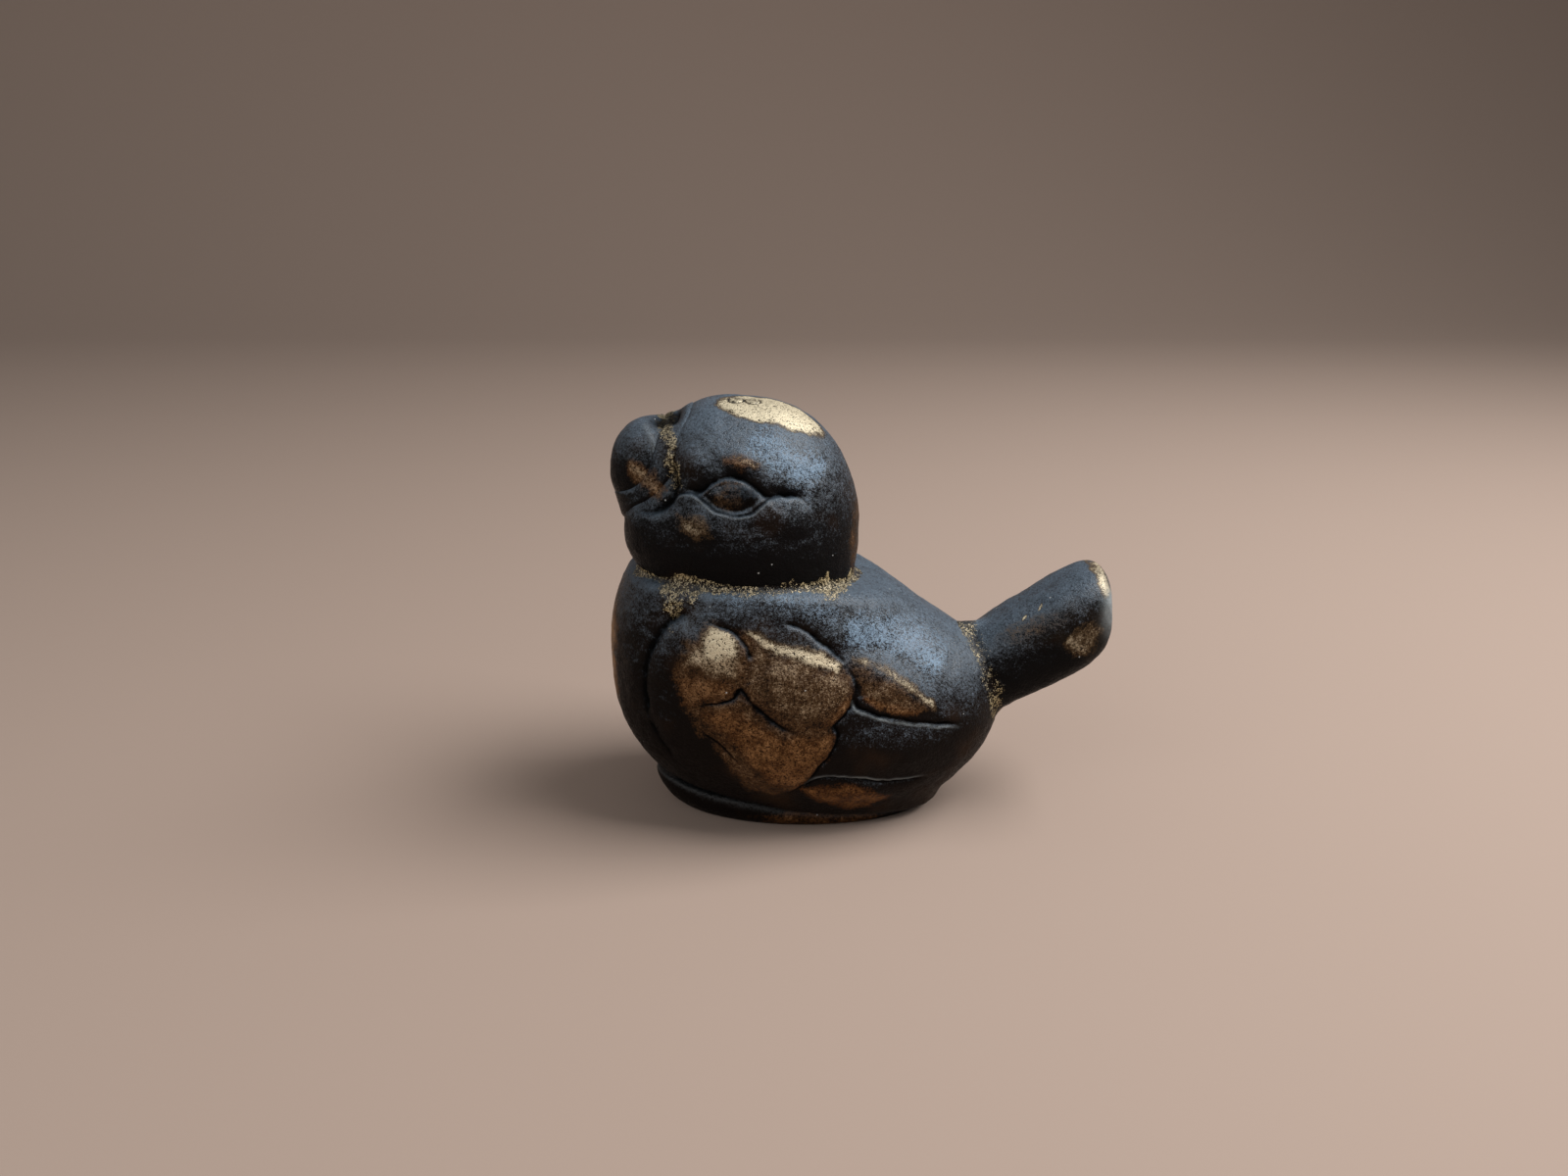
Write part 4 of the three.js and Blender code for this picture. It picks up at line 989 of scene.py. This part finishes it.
# Painted highlight on lit edges
LIT_EDGE = (0.34, 0.38, 0.39, 1)
# Painted pale blue reflection
BLUE_PAINTED_REFLECTION = (0.17, 0.25, 0.34, 1)
DUST = (0.55, 0.56, 0.55, 1)
PIN_DIRT = (0.055, 0.045, 0.030, 1)
FLOOR_BROWN = (0.36, 0.27, 0.22, 1)

# Sizes of the noises in the patina, and of the cells that hold one speck of dust each
FINE, SPECKS, MIDDLE, LARGE = 0.34, 0.15, 1.7, 7.0
DUST_CELL = 1.7


def centred(tree, value, weight):
    """A noise that averages a half, as a swing of the given weight about nought."""
    return times(tree, maths(tree, "SUBTRACT", value, 0.5), weight)


def swung(tree, value, *swings):
    for swing in swings:
        value = maths(tree, "ADD", value, swing)
    return value


class Noises:
    """The noises of a patina, from specks to broad clouds. grain swings about nought."""

    def __init__(self, tree):
        self.fine = mottle(tree, FINE, 3.0, 0.7)
        self.specks = mottle(tree, SPECKS, 1.0)
        self.middle = mottle(tree, MIDDLE, 3.0)
        self.large = mottle(tree, LARGE, 2.0)
        self.grain = swung(tree, centred(tree, self.fine, 1.0), centred(tree, self.specks, 0.8))


def oxide_colour(tree, noises, facing, up, under, upper, brightest):
    """Oxide that turns from dark to pale and blue as it faces up, which is painted top light, with a
    painted pale blue reflection where the reflection patches lie.
    """
    cloud = swung(tree, facing, centred(tree, noises.middle, 0.8), times(tree, noises.grain, 1.7))
    gleam = ramp(tree, cloud, 0.25, 1.2)
    oxide = mixed(tree, up, under, mixed(tree, gleam, upper, brightest))
    painted_reflection = mark(tree, "painted_reflection")
    reflection_share = swung(tree, painted_reflection, times(tree, noises.grain, 2.2), centred(tree, noises.middle, 1.0))
    reflection_share = times(tree, ramp(tree, reflection_share, 0.1, 1.3), ramp(tree, painted_reflection, 0.0, 0.5))
    return mixed(tree, reflection_share, oxide, BLUE_PAINTED_REFLECTION)


def rub_through(tree, noises, oxide, film, under):
    """Oxide that wears to a thin film and then to bare metal, with pits that stay dark."""
    wear = mark(tree, "wear")
    rubbed = swung(tree, wear, times(tree, noises.grain, 0.75), centred(tree, noises.middle, 0.7))
    rubbed = times(tree, rubbed, ramp(tree, wear, 0.02, 0.2))
    thin = ramp(tree, rubbed, 0.15, 0.5)
    bare = ramp(tree, rubbed, 0.42, 0.95)
    metal = mixed(tree, mark(tree, "tone"), ORANGE_METAL, PALE_METAL)
    colour = mixed(tree, bare, mixed(tree, thin, oxide, film), metal)
    pits = ramp(tree, noises.grain, -0.1, -0.17, 0.0, 0.9)
    return mixed(tree, times(tree, pits, thin), colour, under), bare


def stick_crumbs(tree, noises, colour, up):
    """Clumps of golden crumbs, with painted light on the grain tops, greyer where they face up, and
    painted shade between the grains.
    """
    grit = mark(tree, "grit")
    clumps = swung(tree, grit, times(tree, noises.grain, 2.0), centred(tree, noises.middle, 1.4))
    stuck = times(tree, ramp(tree, clumps, 0.5, 0.8), ramp(tree, grit, 0.0, 0.2))
    lit_crumbs = mixed(tree, times(tree, up, 0.35), PALE_CRUMBS, GREY_CRUMBS)
    # grain_tops gives the grain tops painted light and the gaps between them painted shade
    grain_tops = ramp(tree, swung(tree, noises.specks, centred(tree, noises.fine, 1.0)), 0.42, 0.68)
    return mixed(tree, stuck, colour, mixed(tree, grain_tops, DARK_CRUMBS, lit_crumbs)), stuck


def scatter_dust(tree, colour):
    """A speck of dust in some of the cells that the surface is divided into."""
    place = add(tree, "TexCoord").outputs["Object"]
    cells = add(tree, "TexVoronoi", {"Vector": place, "Scale": 1 / (DUST_CELL * MM)})
    chance = add(tree, "SeparateXYZ", {0: cells.outputs["Color"]}).outputs[0]
    speck_radius = ramp(tree, chance, 0.5, 1.0, 0.0, 0.06)
    specks = maths(tree, "LESS_THAN", cells.outputs["Distance"], speck_radius)
    return mixed(tree, times(tree, specks, 0.7), colour, DUST)


def finish_surface(tree, shader, noises, up, bare, stuck):
    """Bare metal and crumbs shine; the top is glossier than the sides and the grooves are dull."""
    shiny = times(tree, maths(tree, "MAXIMUM", bare, stuck), 0.35)
    rough = swung(tree, 0.42, centred(tree, noises.middle, 0.3), noises.grain)
    open_metal = ramp(tree, mark(tree, "groove"), 0.0, 0.7, 1.0, 0.1)
    polish = times(tree, maths(tree, "MULTIPLY_ADD", up, 0.36, 0.06), open_metal)
    tree.links.new(shiny, shader.inputs["Metallic"])
    tree.links.new(rough, shader.inputs["Roughness"])
    tree.links.new(polish, shader.inputs["Specular IOR Level"])
    height = swung(tree, noises.fine, times(tree, noises.specks, 0.5), times(tree, stuck, 0.8))
    bump = add(tree, "Bump", {"Height": height, "Strength": 0.9, "Distance": 0.13 * MM})
    tree.links.new(bump.outputs[0], shader.inputs["Normal"])


def patina_material(name, under, upper, brightest):
    """Dark patina, painted paler and bluer on top as top light, rubbed through in specks to the metal
    under it.

    under is the oxide that faces sideways and down, upper and brightest its painted top light."""
    material, tree, shader = new_material(name)
    noises = Noises(tree)
    facing = add(tree, "SeparateXYZ", {0: add(tree, "NewGeometry").outputs["Normal"]}).outputs[2]
    # up is painted top light: where the surface faces up the oxide is painted paler and bluer, the crumbs
    # greyer, and the specular level is higher
    up = ramp(tree, swung(tree, facing, centred(tree, noises.middle, 0.4), noises.grain), 0.08, 0.6)
    film = mixed(tree, mark(tree, "tone"), ORANGE_FILM, OLIVE_FILM)
    oxide = oxide_colour(tree, noises, facing, up, under, upper, brightest)
    oxide = mixed(tree, ramp(tree, noises.large, 0.5, 0.8, 0.0, 0.25), oxide, film)
    colour, bare = rub_through(tree, noises, oxide, film, under)
    colour, stuck = stick_crumbs(tree, noises, colour, up)
    # Painted highlights on lit edges
    colour = mixed(tree, mark(tree, "painted_highlight"), colour, LIT_EDGE)
    # Painted shade, with dirt, in the grooves and pits
    colour = mixed(tree, times(tree, mark(tree, "groove"), 0.95), colour, GROOVE_SHADE_AND_DIRT)
    tree.links.new(scatter_dust(tree, colour), shader.inputs["Base Color"])
    finish_surface(tree, shader, noises, up, bare, stuck)
    return material


def pin_material():
    """Pale metal rubbed bare, mottled with dark pits."""
    material, tree, shader = new_material("rubbed_brass")
    fine = mottle(tree, 0.3, 4.0, 0.7)
    colour = mixed(tree, ramp(tree, fine, 0.4, 0.62), PIN_DIRT, PALE_METAL)
    tree.links.new(colour, shader.inputs["Base Color"])
    shader.inputs["Metallic"].default_value = 0.3
    tree.links.new(maths(tree, "MULTIPLY_ADD", fine, 0.3, 0.3), shader.inputs["Roughness"])
    bump = add(tree, "Bump", {"Height": fine, "Strength": 0.4, "Distance": 0.08 * MM})
    tree.links.new(bump.outputs[0], shader.inputs["Normal"])
    return material


def make_stage():
    """A plain floor that sweeps up into a backdrop."""
    width, depth, height, sweep, steps = 2.4, 0.9, 1.2, 0.4, 12
    profile = [(-1.0, 0.0), (depth - sweep, 0.0)]
    for step in range(1, steps + 1):
        angle = math.pi / 2 * step / steps
        profile.append((depth - sweep + sweep * math.sin(angle), sweep - sweep * math.cos(angle)))
    profile.append((depth, height))
    points = [(x, y, z) for y, z in profile for x in (-width / 2, width / 2)]
    faces = [(2 * i, 2 * i + 1, 2 * i + 3, 2 * i + 2) for i in range(len(profile) - 1)]
    mesh = bpy.data.meshes.new("backdrop")
    mesh.from_pydata(points, [], faces)
    mesh.shade_smooth()
    material, _, shader = new_material("floor")
    shader.inputs["Base Color"].default_value = FLOOR_BROWN
    shader.inputs["Roughness"].default_value = 0.9
    mesh.materials.append(material)
    floor = bpy.data.objects.new("backdrop", mesh)
    bpy.context.scene.collection.objects.link(floor)


def make_light(name, place, size, watts):
    """A soft box that faces the bird."""
    lamp = bpy.data.lights.new(name, "AREA")
    lamp.shape = "RECTANGLE"
    lamp.size, lamp.size_y = size
    lamp.energy = watts
    box = bpy.data.objects.new(name, lamp)
    box.location = place
    middle_of_bird = Vector((0.0, 0.0, 0.025))
    away = Vector(place) - middle_of_bird
    box.rotation_euler = away.to_track_quat("Z", "Y").to_euler()
    bpy.context.scene.collection.objects.link(box)


def make_room_light(strength):
    world = bpy.data.worlds.new("studio")
    bpy.context.scene.world = world
    world.use_nodes = True
    background = world.node_tree.nodes["Background"]
    background.inputs["Color"].default_value = (1.0, 1.0, 1.0, 1)
    background.inputs["Strength"].default_value = strength


def make_camera():
    """The photograph's view: level with the left side, looking a little down."""
    lens = bpy.data.cameras.new("camera")
    lens.lens = FOCAL_LENGTH
    lens.sensor_width = SENSOR_WIDTH
    lens.clip_start = 0.01
    camera = bpy.data.objects.new("camera", lens)
    camera.location = [coordinate * MM for coordinate in CAMERA_PLACE]
    camera.rotation_euler = (math.radians(90 - CAMERA_TILT), 0.0, 0.0)
    bpy.context.scene.collection.objects.link(camera)
    bpy.context.scene.camera = camera


body_patina = patina_material("body_patina", UNDER_BROWN, BLUE_TOP_PAINTED_LIGHT, BLUE_TOP_PAINTED_GLEAM)
head_patina = patina_material("head_patina", UNDER_BLACK, BLUE_TOP_PAINTED_LIGHT, BLUE_TOP_PAINTED_GLEAM)
base_patina = patina_material("base_patina", UNDER_BROWN, UNDER_BLACK, GREY_TOP_PAINTED_LIGHT)
braze = patina_material("braze_crumbs", UNDER_BROWN, GREY_TOP_PAINTED_LIGHT, GREY_TOP_PAINTED_GLEAM)
make_body(body_patina)
make_head(head_patina)
make_beak(head_patina)
make_tail(head_patina)
make_base(base_patina)
make_neck_seam(braze)
make_tail_seam(braze)
make_beak_seam(head_patina)
make_pins(pin_material())

make_stage()
make_light("key", place=(0.27, -0.03, 0.38), size=(0.34, 0.30), watts=3.0)
make_light("fill", place=(-0.35, -0.45, 0.40), size=(0.5, 0.5), watts=0.9)
make_room_light(0.28)
make_camera()
bpy.context.scene.view_settings.view_transform = "Standard"
